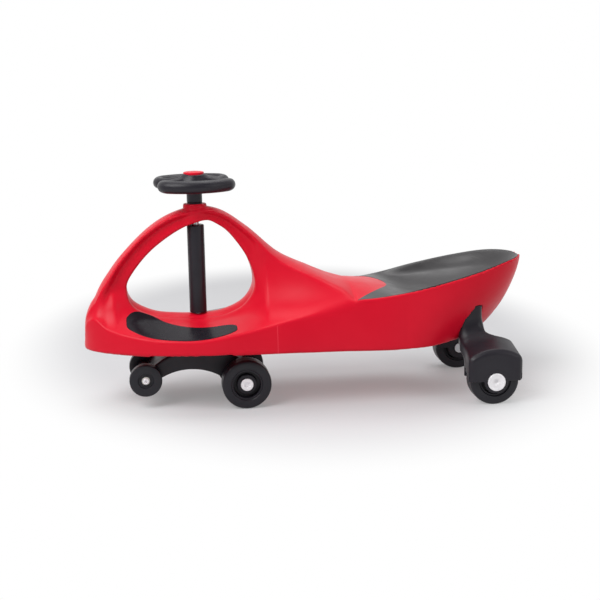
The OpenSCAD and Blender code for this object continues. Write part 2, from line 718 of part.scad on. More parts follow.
module stand_out(side) {
    translate([rear_x, 0, rear_z])
        if (side == LEFT) rotate([90, 0, 0]) children();
        else mirror([0, 1, 0]) rotate([90, 0, 0]) children();
}
module rear_fork(side) color(BLACK) stand_out(side) fork_solid();
module rear_fork_left() rear_fork(LEFT);
module rear_fork_right() rear_fork(RIGHT);
module fork_bolts() color(STEEL) for (side = [LEFT, RIGHT])
    translate([post_x, side * post_y, post_foot_z]) difference() {
        union() {
            rod(fork_bolt_head_r, 0, fork_bolt_head_h);
            rod(fork_bolt_r - fit_gap, 0, post_z + fork_bolt_grip - post_foot_z);
        }
        rod(fork_bolt_head_r * 0.5, -1, fork_bolt_head_h * 0.6, $fn = 6);
    }

// Rear axles and their end caps
axle_head_r = 9;
axle_head_h = 3;
module rear_axle(side) color(STEEL) stand_out(side) {
    rod(axle_r, fork_in - eps, fork_out);
    rod(axle_head_r, fork_in - axle_head_h, fork_in);
}
module rear_axle_left() rear_axle(LEFT);
module rear_axle_right() rear_axle(RIGHT);
module dome(r, h, edge) {
    rotate_extrude() polygon(concat(
        [[0, 0], [r, 0]],
        [for (i = [0:5]) let (a = 90 * i / 5) [r - edge + edge * cos(a), h - edge + edge * sin(a)]],
        [[0, h]]));
}
module rear_axle_caps() color(SILVER) for (side = [LEFT, RIGHT]) stand_out(side)
    translate([0, 0, fork_out]) dome(end_cap_r, end_cap_h, 1.5);

// Steering wheel: two looped grips on a hub with a stem
// A grip's path as [x, y, heading, thickness]: spoke, end bend, long curve, end bend, spoke
grip_c = [(grip_bend - grip_turn) * sin(grip_angle),
          grip_shift - (grip_bend - grip_turn) * cos(grip_angle)];
turn_steps = 6;
bend_steps = 8;
grip_sides = 12;
spoke_share = 0.82;
spoke_in = 12;
spoke_rise = 3;
function turn_at(a) = [grip_c[0] + grip_turn * cos(a), grip_c[1] + grip_turn * sin(a)];
function bend_at(a) = [grip_bend * cos(a), grip_shift + grip_bend * sin(a)];
bend_end = grip_angle - 90;
spoke_from = turn_at(bend_end + turn_angle);
spoke_heading = atan2(-spoke_from[1], -spoke_from[0]);
spoke_end = spoke_from * spoke_in / norm(spoke_from);
half_path = concat(
    [for (i = [0:bend_steps]) let (a = mix(-90, bend_end, i / bend_steps), p = bend_at(a))
        [p[0], p[1], a + 90, 1]],
    [for (i = [1:turn_steps]) let (a = bend_end + turn_angle * i / turn_steps, p = turn_at(a))
        [p[0], p[1], a + 90, mix(1, spoke_share, i / turn_steps)]],
    [[spoke_end[0], spoke_end[1], spoke_heading, spoke_share]]);
function flip(p) = [-p[0], p[1], -p[2], p[3]];
grip_path = concat([for (i = [len(half_path) - 1:-1:1]) flip(half_path[i])], half_path);
function grip_ring(p) =
    let (lift = spoke_rise * (1 - min(1, norm([p[0], p[1]]) / norm(spoke_from))))
    [for (i = [0:grip_sides - 1])
        let (a = 360 * i / grip_sides, r = grip_r * p[3], out = r * cos(a))
        [p[0] + out * sin(p[2]), p[1] - out * cos(p[2]), lift + r * sin(a)]];
module grip_loop() {
    n = grip_sides;
    m = len(grip_path);
    points = [for (p = grip_path) each grip_ring(p)];
    sides = [for (j = [0:m - 2]) for (i = [0:n - 1])
        let (a = j * n + i, b = j * n + (i + 1) % n)
        each [[a, b, a + n], [b, b + n, a + n]]];
    front = [for (i = [n - 1:-1:0]) i];
    back = [for (i = [0:n - 1]) (m - 1) * n + i];
    polyhedron(points, concat([front], sides, [back]), 4);
}
module hub_form() {
    low = stem_z - grip_z;
    top = hub_top_z - grip_z;
    rotate_extrude() polygon([
        [0, low], [stem_r, low], [stem_r, -grip_r - 2], [stem_r + 4, -grip_r + 2],
        [hub_r - 2, -grip_r + 4], [hub_r, -grip_r + 6], [hub_r, 2], [hub_r - 2, 6],
        [cap_r + 1, top], [0, top]]);
}
module steering_wheel() color(BLACK) about_column(grip_z) rotate([0, 0, wheel_set]) difference() {
    union() {
        hub_form();
        grip_loop();
        rotate([0, 0, 180]) grip_loop();
    }
    rod(shaft_r + fit_gap, stem_z - grip_z - 1, shaft_top_z - grip_z + 1);
    rod(hub_well_r + fit_gap, shaft_top_z - grip_z, hub_top_z - grip_z + 1);
}
module wheel_cap() color(RED) about_column(hub_top_z) {
    dome(cap_r, cap_rise, 3);
    rod(hub_well_r - fit_gap, -spigot_h, eps);
}
module wheel_washer() color(STEEL) about_column(shaft_top_z)
    tube(hub_well_r - fit_gap, bolt_r + fit_gap, 0, washer_thick);
module wheel_bolt() color(STEEL) about_column(shaft_top_z) difference() {
    union() {
        rod(bolt_head_r, washer_thick, washer_thick + bolt_head_h);
        rod(bolt_r, 1 - bolt_len, washer_thick + eps);
    }
    rod(bolt_head_r * 0.5, washer_thick + 2, washer_thick + bolt_head_h + 1, $fn = 6);
}

// Steering shaft, its sleeve and what it turns on
module steering_shaft() color(STEEL) about_column() difference() {
    union() {
        rod(shaft_r, shaft_end_z, shaft_top_z);
        rod(washer_r, truck_top_z, thrust_z);
    }
    rod(bolt_r + fit_gap, shaft_top_z - bolt_len, shaft_top_z + 1);
}
module column_sleeve() color(BLACK) about_column() difference() {
    union() {
        rod(sleeve_r, sleeve_start, sleeve_z - 2);
        translate([0, 0, sleeve_z - 2]) cylinder(r1 = sleeve_r, r2 = sleeve_r - 2, h = 2);
    }
    rod(shaft_r + fit_gap, 0, sleeve_z + 1);
}
module thrust_washer() color(NYLON) about_column()
    tube(washer_r + 3, shaft_r + fit_gap, thrust_z, thrust_z + thrust_thick);
module truck_washer() color(STEEL) about_column()
    tube(washer_r, shaft_r + fit_gap, boss_under_z - washer_thick, boss_under_z);
module truck_nut() color(STEEL) about_column() difference() {
    high = boss_under_z - washer_thick;
    translate([0, 0, high - nut_h]) cylinder(r = nut_flats / sqrt(3), h = nut_h, $fn = 6);
    rod(shaft_r + fit_gap, 0, high + 1);
}

// Truck frame: an arched moulding, open below, with a boss for the shaft and for each axle
arch_set = 3;
arch_drop = 6;
under_set = 20;
under_depth = 37.5;
arch_top_z = truck_top_z - arch_drop;
arch_mid = [column_x - arch_set, arch_top_z - truck_arch];
under_mid = [column_x - under_set, arch_top_z - under_depth - truck_under];
safety_drop = 10;
main_drop = 9;
safety_low_z = safety_z - safety_drop;
main_low_z = main_z - main_drop;
main_boss_r = 17;
safety_boss_r = 13;
module arch_side(top_r) {
    intersection() {
        difference() {
            translate(arch_mid) circle(r = top_r);
            translate(under_mid) circle(r = truck_under);
        }
        polygon([[safety_x, safety_low_z], [main_x, main_low_z], [main_x, wheel_r + truck_arch],
                 [safety_x, wheel_r + truck_arch]]);
    }
}
module side_prism(half) { rotate([90, 0, 0]) linear_extrude(2 * half, center = true) children(); }
module cross_rod(r, x, z, half) {
    translate([x, half, z]) rotate([90, 0, 0]) cylinder(r = r, h = 2 * half);
}
module truck_frame() color(BLACK) difference() {
    union() {
        difference() {
            side_prism(truck_half) arch_side(truck_arch);
            side_prism(truck_half - truck_wall)
                translate(arch_mid) circle(r = truck_arch - truck_wall);
        }
        about_column() rod(truck_boss_r, boss_under_z, truck_top_z);
        cross_rod(main_boss_r, main_x, main_z, main_boss_half);
        cross_rod(safety_boss_r, safety_x, safety_z, safety_boss_half);
        for (y = [-truck_half / 3, truck_half / 3]) translate([0, y, 0])
            side_prism(truck_wall / 4) arch_side(truck_arch - truck_wall / 2);
    }
    about_column() rod(shaft_r + fit_gap, 0, through);
    about_column() rod(truck_boss_r, 0, boss_under_z);
    cross_rod(axle_r + fit_gap, main_x, main_z, body_width);
    cross_rod(safety_axle_r + fit_gap, safety_x, safety_z, body_width);
}

// Front axles and the screws in their ends
module axle_screws(r, socket) {
    difference() {
        dome(r, screw_h, 1.5);
        rod(socket, screw_h * 0.4, screw_h + 1, $fn = 6);
    }
}
module main_axle() color(STEEL) cross_rod(axle_r, main_x, main_z, main_axle_half);
module main_axle_screws() color(SILVER) for (side = [LEFT, RIGHT])
    out_at(main_x, main_axle_half, main_z, side) axle_screws(screw_r, 4);
module safety_axle() color(STEEL) cross_rod(safety_axle_r, safety_x, safety_z, safety_axle_half);
module safety_axle_screws() color(SILVER) for (side = [LEFT, RIGHT])
    out_at(safety_x, safety_axle_half, safety_z, side) axle_screws(small_screw_r, 2.5);

// Road wheels, drawn about Z with their outer face up
module tyre() {
    half = wheel_w / 2;
    rotate_extrude() polygon(concat(
        [[tyre_seat_r + fit_gap, -half + 1], [tyre_seat_r + 1, -half]],
        [for (i = [0:4]) let (a = -90 + 90 * i / 4)
            [wheel_r - tyre_round + tyre_round * cos(a), -half + tyre_round + tyre_round * sin(a)]],
        [for (i = [0:4]) let (a = 90 * i / 4)
            [wheel_r - tyre_round + tyre_round * cos(a), half - tyre_round + tyre_round * sin(a)]],
        [[tyre_seat_r + 1, half], [tyre_seat_r + fit_gap, half - 1]]));
}
module hub() {
    half = wheel_w / 2;
    difference() {
        union() {
            tube(tyre_seat_r, tyre_seat_r - hub_rim, -half + 2, half - 2);
            rod(tyre_seat_r - hub_rim + eps, -hub_web / 2, hub_web / 2);
            rod(hub_boss_r, hub_in, hub_out);
        }
        rod(hub_bush_r + fit_gap / 3, -wheel_w, wheel_w);
    }
}
module hub_bushes() {
    tube(hub_bush_r, axle_r + run_gap, hub_in, hub_in + bush_len);
    tube(hub_bush_r, axle_r + run_gap, hub_out - bush_len, hub_out);
}
module main_tyre_left() color(BLACK) out_at(main_x, main_mid, main_z, LEFT) tyre();
module main_tyre_right() color(BLACK) out_at(main_x, main_mid, main_z, RIGHT) tyre();
module main_hub_left() color(BLACK) out_at(main_x, main_mid, main_z, LEFT) hub();
module main_hub_right() color(BLACK) out_at(main_x, main_mid, main_z, RIGHT) hub();
module main_bushes_left() color(NYLON) out_at(main_x, main_mid, main_z, LEFT) hub_bushes();
module main_bushes_right() color(NYLON) out_at(main_x, main_mid, main_z, RIGHT) hub_bushes();
module rear_tyre_left() color(BLACK) out_at(rear_x, rear_mid, rear_z, LEFT) tyre();
module rear_tyre_right() color(BLACK) out_at(rear_x, rear_mid, rear_z, RIGHT) tyre();
module rear_hub_left() color(BLACK) out_at(rear_x, rear_mid, rear_z, LEFT) hub();
module rear_hub_right() color(BLACK) out_at(rear_x, rear_mid, rear_z, RIGHT) hub();
module rear_bushes_left() color(NYLON) out_at(rear_x, rear_mid, rear_z, LEFT) hub_bushes();
module rear_bushes_right() color(NYLON) out_at(rear_x, rear_mid, rear_z, RIGHT) hub_bushes();

// Safety wheels, which hang clear of the floor and stop the car from tipping forward
safety_dish_r = 14;
module safety_wheel() {
    half = safety_w / 2;
    edge = 3;
    difference() {
        rotate_extrude() polygon(concat(
            [[safety_bush_r + fit_gap / 3, -half]],
            [for (i = [0:3]) let (a = -90 + 30 * i)
                [safety_r - edge + edge * cos(a), -half + edge + edge * sin(a)]],
            [for (i = [0:3]) let (a = 30 * i)
                [safety_r - edge + edge * cos(a), half - edge + edge * sin(a)]],
            [[safety_dish_r, half], [safety_dish_r - 1, half - safety_recess - 1],
             [safety_bush_r + 3, half - safety_recess - 1], [safety_bush_r + 3, half - safety_recess],
             [safety_bush_r + fit_gap / 3, half - safety_recess]]));
        rod(safety_bush_r + fit_gap / 3, -safety_w, safety_w);
    }
}
module safety_bush() {
    tube(safety_bush_r, safety_axle_r + run_gap, -safety_w / 2, safety_w / 2 - safety_recess);
}
module safety_wheel_left() color(BLACK) out_at(safety_x, safety_mid, safety_z, LEFT) safety_wheel();
module safety_wheel_right() color(BLACK) out_at(safety_x, safety_mid, safety_z, RIGHT) safety_wheel();
module safety_bush_left() color(NYLON) out_at(safety_x, safety_mid, safety_z, LEFT) safety_bush();
module safety_bush_right() color(NYLON) out_at(safety_x, safety_mid, safety_z, RIGHT) safety_bush();

body_shell();
underside_pan();
pan_screws();
seat_cover();
footrest_pad_left();
footrest_pad_right();
upper_bush();
lower_bush();
rear_fork_left();
rear_fork_right();
fork_bolts();
rear_axle_left();
rear_axle_right();
rear_axle_caps();
steering_wheel();
wheel_cap();
wheel_bolt();
wheel_washer();
steering_shaft();
column_sleeve();
thrust_washer();
truck_frame();
truck_washer();
truck_nut();
main_axle();
main_axle_screws();
safety_axle();
safety_axle_screws();
main_tyre_left();
main_tyre_right();
main_hub_left();
main_hub_right();
main_bushes_left();
main_bushes_right();
safety_wheel_left();
safety_wheel_right();
safety_bush_left();
safety_bush_right();
rear_tyre_left();
rear_tyre_right();
rear_hub_left();
rear_hub_right();
rear_bushes_left();
rear_bushes_right();
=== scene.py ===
import json
import math

import bmesh
import bpy
import numpy as np
from mathutils import Matrix, Vector
from mathutils.bvhtree import BVHTree


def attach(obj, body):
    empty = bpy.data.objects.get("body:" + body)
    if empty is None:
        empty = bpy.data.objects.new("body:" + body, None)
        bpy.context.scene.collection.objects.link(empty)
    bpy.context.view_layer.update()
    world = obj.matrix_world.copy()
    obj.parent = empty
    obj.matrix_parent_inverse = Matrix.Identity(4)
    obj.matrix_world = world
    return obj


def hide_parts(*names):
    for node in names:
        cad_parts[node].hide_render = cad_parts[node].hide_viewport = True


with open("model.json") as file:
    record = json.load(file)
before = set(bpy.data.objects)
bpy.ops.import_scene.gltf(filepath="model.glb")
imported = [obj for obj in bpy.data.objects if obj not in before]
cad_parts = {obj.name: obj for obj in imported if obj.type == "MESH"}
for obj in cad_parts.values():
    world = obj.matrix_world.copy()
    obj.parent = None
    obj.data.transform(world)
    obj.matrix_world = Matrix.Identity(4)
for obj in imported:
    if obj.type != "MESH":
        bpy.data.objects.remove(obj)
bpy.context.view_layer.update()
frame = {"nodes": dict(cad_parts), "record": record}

MM = 0.001
LEFT, RIGHT = -1, 1
SIDES = (("left", LEFT), ("right", RIGHT))


# Helpers for lines and sections

def curve(knots):
    """A cubic through the knots, with the weighted mean slope at each."""
    xs, ys = np.array(knots, float).T
    h = np.diff(xs)
    rise = np.diff(ys) / h
    slope = np.empty(len(xs))
    slope[0], slope[-1] = rise[0], rise[-1]
    slope[1:-1] = (rise[:-1] * h[1:] + rise[1:] * h[:-1]) / (h[:-1] + h[1:])

    def at(x):
        i = np.clip(np.searchsorted(xs, x, side="right") - 1, 0, len(h) - 1)
        t = np.clip((x - xs[i]) / h[i], 0, 1)
        return ((2 * t**3 - 3 * t**2 + 1) * ys[i] + (t**3 - 2 * t**2 + t) * h[i] * slope[i]
                + (3 * t**2 - 2 * t**3) * ys[i + 1] + (t**3 - t**2) * h[i] * slope[i + 1])
    return at


def mix(a, b, t):
    return a + (b - a) * t


def smooth(a, b, x):
    t = np.clip((np.asarray(x, float) - a) / (b - a), 0, 1)
    return t * t * (3 - 2 * t)


def soft_max(a, b, k):
    """The larger of two distances, with the corner between them rounded over k."""
    return np.maximum(a, b) + np.maximum(k - np.abs(a - b), 0) ** 2 / (4 * k)


def soft_min(a, b, k):
    return -soft_max(-a, -b, k)


# Lines of the body in plan and height, as in the solids

NOSE_END, TAIL_END = -391.5, 391.5
top_z = curve([(-392, 112), (-386, 156), (-370, 198), (-342, 243), (-307, 283), (-258, 324),
               (-212, 344), (-180, 348), (-150, 341), (-102, 309), (-50, 263), (2, 236),
               (51, 214), (110, 203), (146, 196), (190, 186), (240, 184), (290, 193),
               (340, 214), (375, 233), (392, 240)])
edge_line = curve([(-392, 108), (-386, 146), (-379, 158), (-350, 146), (-302, 136), (-234, 132),
                   (-190, 132.5), (-129, 141), (-64, 154), (0, 168), (75, 187), (112, 190),
                   (153, 196), (225, 211), (293, 226), (358, 239), (392, 242)])
bottom_z = curve([(-392, 103), (-150, 102.5), (-44, 101.5), (76, 98.5), (145, 97), (200, 97.5),
                  (240, 100), (280, 105.5), (310, 115), (340, 137), (365, 168), (380, 199),
                  (388, 222), (392, 234)])
keel_line = curve([(-177, 117), (-60, 115), (76, 110), (145, 111), (185, 107), (217, 97),
                   (240, 85), (266, 70), (295, 50), (322, 30), (347, 19), (370, 12), (392, 4)])
crease_line = curve([(-392, 2), (-384, 16), (-372, 25), (-350, 28), (-325, 26), (-258, 25),
                     (-190, 26), (-130, 27), (-95, 30), (-63, 38), (-5, 56), (31, 68),
                     (60, 85), (75, 98)])
crown_line = curve([(-392, 2), (-375, 8), (-350, 10), (-325, 6), (-190, 7), (-110, 7), (-60, 12),
                    (-5, 10), (35, 8), (60, 12), (75, 22.5)])
corner_y_line = curve([(-392, 2), (-384, 18), (-372, 27), (-350, 28), (-325, 20), (-290, 18),
                       (-200, 18), (-130, 20), (-100, 25), (-80, 34), (-60, 45), (-20, 66),
                       (30, 86), (75, 101)])
corner_z_line = curve([(-392, 110), (-386, 147), (-379, 161), (-350, 172), (-325, 178),
                       (-306, 175), (-288, 165), (-270, 157), (-228, 150.5), (-185, 149),
                       (-145, 155), (-129, 160), (-110, 168), (-90, 174), (-60, 176),
                       (-20, 179), (30, 185.5), (75, 188)])
fillet_line = curve([(-392, 10), (-372, 40), (-350, 60), (-325, 48), (-290, 32), (-200, 22),
                     (-130, 25), (-100, 40), (-80, 75), (-60, 130), (-20, 200), (75, 200)])
pad_inner = curve([(-320, 37), (-312, 31), (-300, 26.5), (-285, 24.5), (-267, 26), (-248, 35),
                   (-229, 46), (-210, 53), (-170, 59), (-149, 60), (-137, 64), (-130, 70)])
WINDOW = np.array([(-178, 324), (-221, 309), (-270, 275), (-305, 235), (-316, 207), (-306, 178.5),
                   (-270, 159), (-228, 153), (-185, 152), (-145, 157), (-110, 175.5),
                   (-93, 209), (-103, 253), (-131, 296), (-154, 316)], float)
NOSE_START, SEAT_START, TAIL_START, END_ROOM = -177, 75, 200, 0.5
NOSE_HALF, TAIL_HALF, WAIST_HALF = 117, 112, 103
NOSE_POWER, NOSE_BLUNT = 1.7, 0.56
RIM_LIP, WALL, FIT = 2, 4.5, 0.15
TONGUE_X, NOTCH_X, TONGUE_POWER = 146, 77, 1.9
SEAT_MARGIN, SEAT_THICK, SEAT_EDGE, SEAT_PROUD = 2.5, 3.6, 0.9, 0.6
SEAT_DEEP, SEAT_WALL, SEAT_MIDDLE, SEAT_BACK_UP, SEAT_FADE = 9, 20, 85, 0.6, (120, 210)
RIM_COVER, COVER_BAND, COVER_FADE = 1.2, (2, 12), (140, 220)
PAD_FRONT, PAD_REAR, PAD_MARGIN = -319, -130.5, 3
PAD_TIP, PAD_END_DEG, PAD_ROUND_IN, PAD_ROUND_OUT = 0.3, 0.5, 0.6, 0.42
PAD_THICK, PAD_EDGE, PAD_PROUD = 2.6, 0.9, 0.7
COLUMN_X, COLLAR_R, COLLAR_Z, COLLAR_LOW = -192, 20.5, 352, 326
BOSS_R, BOSS_LOW, BOSS_COVER = 24.5, 310, 10
POST_X, POST_Y, POST_HALF, POST_ROUND, POST_Z = 283, 78, 20, 10, 165
PAN_TOP_Z, PAN_REAR_X, PAN_FRONT_X = 111.4, 250, -380


def half_width(x):
    t = np.clip((NOSE_START - x) / (NOSE_START - NOSE_END + END_ROOM), 0, 1)
    nose = NOSE_HALF * (1 - t**NOSE_POWER) ** NOSE_BLUNT
    t = np.clip((x - TAIL_START) / (TAIL_END - TAIL_START + END_ROOM), 0, 1)
    tail = TAIL_HALF * np.sqrt(1 - t * t)
    waist = mix(NOSE_HALF, WAIST_HALF, smooth(NOSE_START, SEAT_START, x))
    hips = mix(WAIST_HALF, TAIL_HALF, smooth(SEAT_START, TAIL_START, x))
    return np.where(x < NOSE_START, nose,
                    np.where(x > TAIL_START, tail, np.where(x < SEAT_START, waist, hips)))


def keel_width(x):
    return np.where(x < NOSE_START, half_width(x), keel_line(x))


def edge_z(x):
    return np.where(x < 0, np.minimum(edge_line(x), top_z(x) - 3), edge_line(x))


def crease_y(x):
    w = half_width(x)
    return np.where(x < SEAT_START, np.minimum(crease_line(x), w - 2),
                    w - RIM_LIP * np.minimum(1, w / 30))


def crease_z(x):
    return np.where(x < SEAT_START, top_z(x) - crown_line(x), edge_z(x))


def points(y, z):
    return np.stack([y, z], -1)


def corner(x):
    w = half_width(x)
    front = points(np.minimum(corner_y_line(x), w - 1), corner_z_line(x))
    return np.where((x < SEAT_START)[..., None], front,
                    points((w + crease_y(x)) / 2, edge_z(x) + 1))


def toward(a, b, length):
    gap = np.linalg.norm(b - a, axis=-1)
    return a + (b - a) * np.minimum(0.97, length / np.maximum(gap, 1e-6))[..., None]


def bezier(a, b, c, t):
    t = t[:, None]
    a, b, c = (p[..., None, :] for p in (a, b, c))
    return a * (1 - t) ** 2 + b * 2 * t * (1 - t) + c * t**2


def dish_height(x, y):
    return mix(top_z(x), crease_z(x), (y / crease_y(x)) ** 2)


def fillet_ends(x):
    k = corner(x)
    edge = points(half_width(x), edge_z(x))
    crease = points(crease_y(x), crease_z(x))
    return toward(k, edge, fillet_line(x)), k, toward(k, crease, fillet_line(x)), edge


def deck_height(x, y):
    p, k, q, e = fillet_ends(x)
    flat = mix(p[..., 1], e[..., 1], (y - p[..., 0]) / (e[..., 0] - p[..., 0]))
    a = p[..., 0] - 2 * k[..., 0] + q[..., 0]
    b = 2 * (k[..., 0] - p[..., 0])
    c = p[..., 0] - y
    t = np.minimum(1, 2 * c / (-b + np.sqrt(np.maximum(0, b * b - 4 * a * c))))
    bend = p[..., 1] * (1 - t) ** 2 + k[..., 1] * 2 * t * (1 - t) + q[..., 1] * t**2
    return np.where(y >= p[..., 0], flat, bend)


def sections(xs, count):
    """Half sections of the body, each evenly spaced along its line and eased at its corners."""
    keel = points(keel_width(xs), bottom_z(xs))
    p, k, q, edge = fillet_ends(xs)
    bulge = points(np.maximum(keel[:, 0], edge[:, 0]) + 1, mix(keel[:, 1], edge[:, 1], 0.4))
    cy = crease_y(xs)[:, None] * np.linspace(1, 0, 25)
    rows = np.concatenate([
        points(np.zeros_like(xs), bottom_z(xs))[:, None],
        bezier(keel, bulge, edge, np.linspace(0, 1, 13)),
        bezier(p, k, q, np.linspace(0, 1, 33)),
        points(cy, dish_height(xs[:, None], cy))], 1)
    out = np.empty((len(xs), count, 2))
    for i, row in enumerate(rows):
        step = np.r_[0, np.cumsum(np.linalg.norm(np.diff(row, axis=0), axis=1))]
        even = np.linspace(0, step[-1], count)
        for a in (0, 1):
            out[i, :, a] = np.interp(even, step, row[:, a])
    return out


def ease(rows, passes):
    """Rounds the corners of the sections; the two ends stay on the middle plane."""
    for _ in range(passes):
        wide = np.concatenate([rows[:, 1:2] * [-1, 1], rows, rows[:, -2:-1] * [-1, 1]], 1)
        rows = 0.25 * wide[:, :-2] + 0.5 * wide[:, 1:-1] + 0.25 * wide[:, 2:]
    return rows


def line_distance(line_y, line_z, y, z):
    """Signed distance to an open line that closes on the axis y = 0; negative inside."""
    ay, az, by, bz = line_y[:, :-1], line_z[:, :-1], line_y[:, 1:], line_z[:, 1:]
    dy, dz = by - ay, bz - az
    py, pz = y[:, None] - ay, z[:, None] - az
    t = np.clip((py * dy + pz * dz) / np.maximum(dy * dy + dz * dz, 1e-9), 0, 1)
    gap = np.sqrt(((py - t * dy) ** 2 + (pz - t * dz) ** 2).min(1))
    cross = (az > z[:, None]) != (bz > z[:, None])
    at = ay + pz / np.where(np.abs(dz) < 1e-9, 1e-9, dz) * dy
    inside = (cross & (at > y[:, None])).sum(1) % 2
    return np.where(inside, -gap, gap)


def ring_distance(ring, u, v):
    """Signed distance to a closed outline in a plane; negative inside."""
    a, b = ring, np.roll(ring, -1, 0)
    d = b - a
    pu, pv = u[:, None] - a[:, 0], v[:, None] - a[:, 1]
    t = np.clip((pu * d[:, 0] + pv * d[:, 1]) / (d * d).sum(1), 0, 1)
    gap = np.sqrt(((pu - t * d[:, 0]) ** 2 + (pv - t * d[:, 1]) ** 2).min(1))
    cross = (a[:, 1] > v[:, None]) != (b[:, 1] > v[:, None])
    at = a[:, 0] + pv / np.where(np.abs(d[:, 1]) < 1e-9, 1e-9, d[:, 1]) * d[:, 0]
    inside = (cross & (at > u[:, None])).sum(1) % 2
    return np.where(inside, -gap, gap)


def seat_place(u, v):
    """A spot of the seat from its share across and its share along."""
    q = np.sin((u - 0.5) * np.pi)
    first = mix(TONGUE_X, NOTCH_X, np.abs(q) ** TONGUE_POWER)
    reach = TAIL_END - TAIL_START - SEAT_MARGIN
    last = TAIL_START + reach * np.sqrt(np.maximum(0, 1 - q * q))
    x = mix(first, last, v)
    return x, q * (half_width(np.minimum(x, TAIL_START)) - SEAT_MARGIN)


def seat_gap(x, y):
    """About how far a spot lies inside the rim of the seat."""
    share = np.hypot((x - TAIL_START) / (TAIL_END - TAIL_START), y / TAIL_HALF)
    return np.where(x > TAIL_START, TAIL_HALF * (1 - share), half_width(x) - y) - SEAT_MARGIN


def seat_hollow(x, y):
    """How far the foot of the seat's wall lies below the plain dish."""
    gap = seat_gap(x, y)
    foot = smooth(0, SEAT_WALL, gap) * (1 - SEAT_BACK_UP * smooth(SEAT_WALL, SEAT_MIDDLE, gap))
    return SEAT_DEEP * foot * smooth(*SEAT_FADE, x)


def seat_height(x, y):
    y = np.abs(y)
    cover = RIM_COVER * smooth(*COVER_FADE, x) * (1 - smooth(*COVER_BAND, seat_gap(x, y)))
    return dish_height(x, y) - seat_hollow(x, y) + cover


def pad_place(u, v):
    """A spot of the right footrest pad from its share along and its share across."""
    x = mix(PAD_FRONT, PAD_REAR, (1 - np.cos(u * np.pi)) / 2)
    inner, outer = pad_inner(x), half_width(x) - PAD_MARGIN
    power = np.where(v < PAD_TIP, PAD_ROUND_IN, PAD_ROUND_OUT)
    end = np.sin(np.radians(mix(PAD_END_DEG, 180 - PAD_END_DEG, u))) ** power
    return x, inner + (outer - inner) * (PAD_TIP + end * (v - PAD_TIP))


def rim(place, count):
    """The outline of a slab on the plan."""
    t = np.linspace(0, 1, count)
    low, high = np.zeros(count), np.ones(count)
    sides = [place(t, low), place(high, t), place(t[::-1], high), place(low, t[::-1])]
    ring = np.concatenate([np.stack(side, 1)[:-1] for side in sides])
    keep = np.linalg.norm(ring - np.roll(ring, 1, 0), axis=1) > 0.05
    return ring[keep]


def closed_curve(knots, steps):
    """A smooth closed line through its knots."""
    a, b, c, d = (np.roll(knots, s, 0)[:, None] for s in (1, 0, -1, -2))
    t = (np.arange(steps) / steps)[None, :, None]
    line = 0.5 * (2 * b + (c - a) * t + (2 * a - 5 * b + 4 * c - d) * t**2
                  + (3 * b - a - 3 * c + d) * t**3)
    return line.reshape(-1, 2)


# Skins over fields of distance

CORNERS = np.array([(i, j, k) for i in (0, 1) for j in (0, 1) for k in (0, 1)])
CHUNK = 40000
EDGES = [(a, b) for a in range(8) for b in range(a + 1, 8)
         if np.abs(CORNERS[a] - CORNERS[b]).sum() == 1]


def skin(values, low, step):
    """Quads over the zero level of a grid of distances."""
    inside = values < 0
    corner_in = np.stack([inside[i:inside.shape[0] - 1 + i, j:inside.shape[1] - 1 + j,
                                 k:inside.shape[2] - 1 + k] for i, j, k in CORNERS])
    active = corner_in.any(0) & ~corner_in.all(0)
    cell = np.argwhere(active)
    at = cell[:, None] + CORNERS
    value = values[at[..., 0], at[..., 1], at[..., 2]]
    total, hits = np.zeros((len(cell), 3)), np.zeros(len(cell))
    for a, b in EDGES:
        cut = (value[:, a] < 0) != (value[:, b] < 0)
        t = (value[:, a] / np.where(cut, value[:, a] - value[:, b], 1))[:, None]
        total += cut[:, None] * (CORNERS[a] + (CORNERS[b] - CORNERS[a]) * t)
        hits += cut
    verts = low + step * (cell + total / hits[:, None])
    number = np.full(active.shape, -1)
    number[active] = np.arange(len(cell))
    quads = []
    for axis in range(3):
        u, v = (axis + 1) % 3, (axis + 2) % 3
        first = np.take(inside, range(inside.shape[axis] - 1), axis)
        second = np.take(inside, range(1, inside.shape[axis]), axis)
        where = np.argwhere(first != second)
        where = where[(where[:, u] > 0) & (where[:, v] > 0)
                      & (where[:, u] < inside.shape[u] - 1) & (where[:, v] < inside.shape[v] - 1)]
        square = []
        for du, dv in ((-1, -1), (0, -1), (0, 0), (-1, 0)):
            c = where.copy()
            c[:, u] += du
            c[:, v] += dv
            square.append(number[c[:, 0], c[:, 1], c[:, 2]])
        square = np.stack(square, 1)
        out = inside[where[:, 0], where[:, 1], where[:, 2]]
        quads.append(np.where(out[:, None], square, square[:, ::-1]))
    return verts, np.concatenate(quads)


def relax(verts, quads, share):
    """Moves each vertex part of the way to the middle of its neighbours."""
    total, hits = np.zeros_like(verts), np.zeros(len(verts))
    for a, b in ((0, 1), (1, 2), (2, 3), (3, 0)):
        for s, e in ((a, b), (b, a)):
            np.add.at(total, quads[:, s], verts[quads[:, e]])
            np.add.at(hits, quads[:, s], 1)
    return mix(verts, total / np.maximum(hits, 1)[:, None], share)


def settle(verts, field, reach, probe=0.3):
    """Moves vertices onto the zero level of a field."""
    value = field(verts)
    slope = np.stack([(field(verts + probe * axis) - value) / probe for axis in np.eye(3)], 1)
    move = -value[:, None] * slope / np.maximum((slope**2).sum(1), 0.05)[:, None]
    size = np.linalg.norm(move, axis=1, keepdims=True)
    return verts + move * np.minimum(1, reach / np.maximum(size, 1e-9))


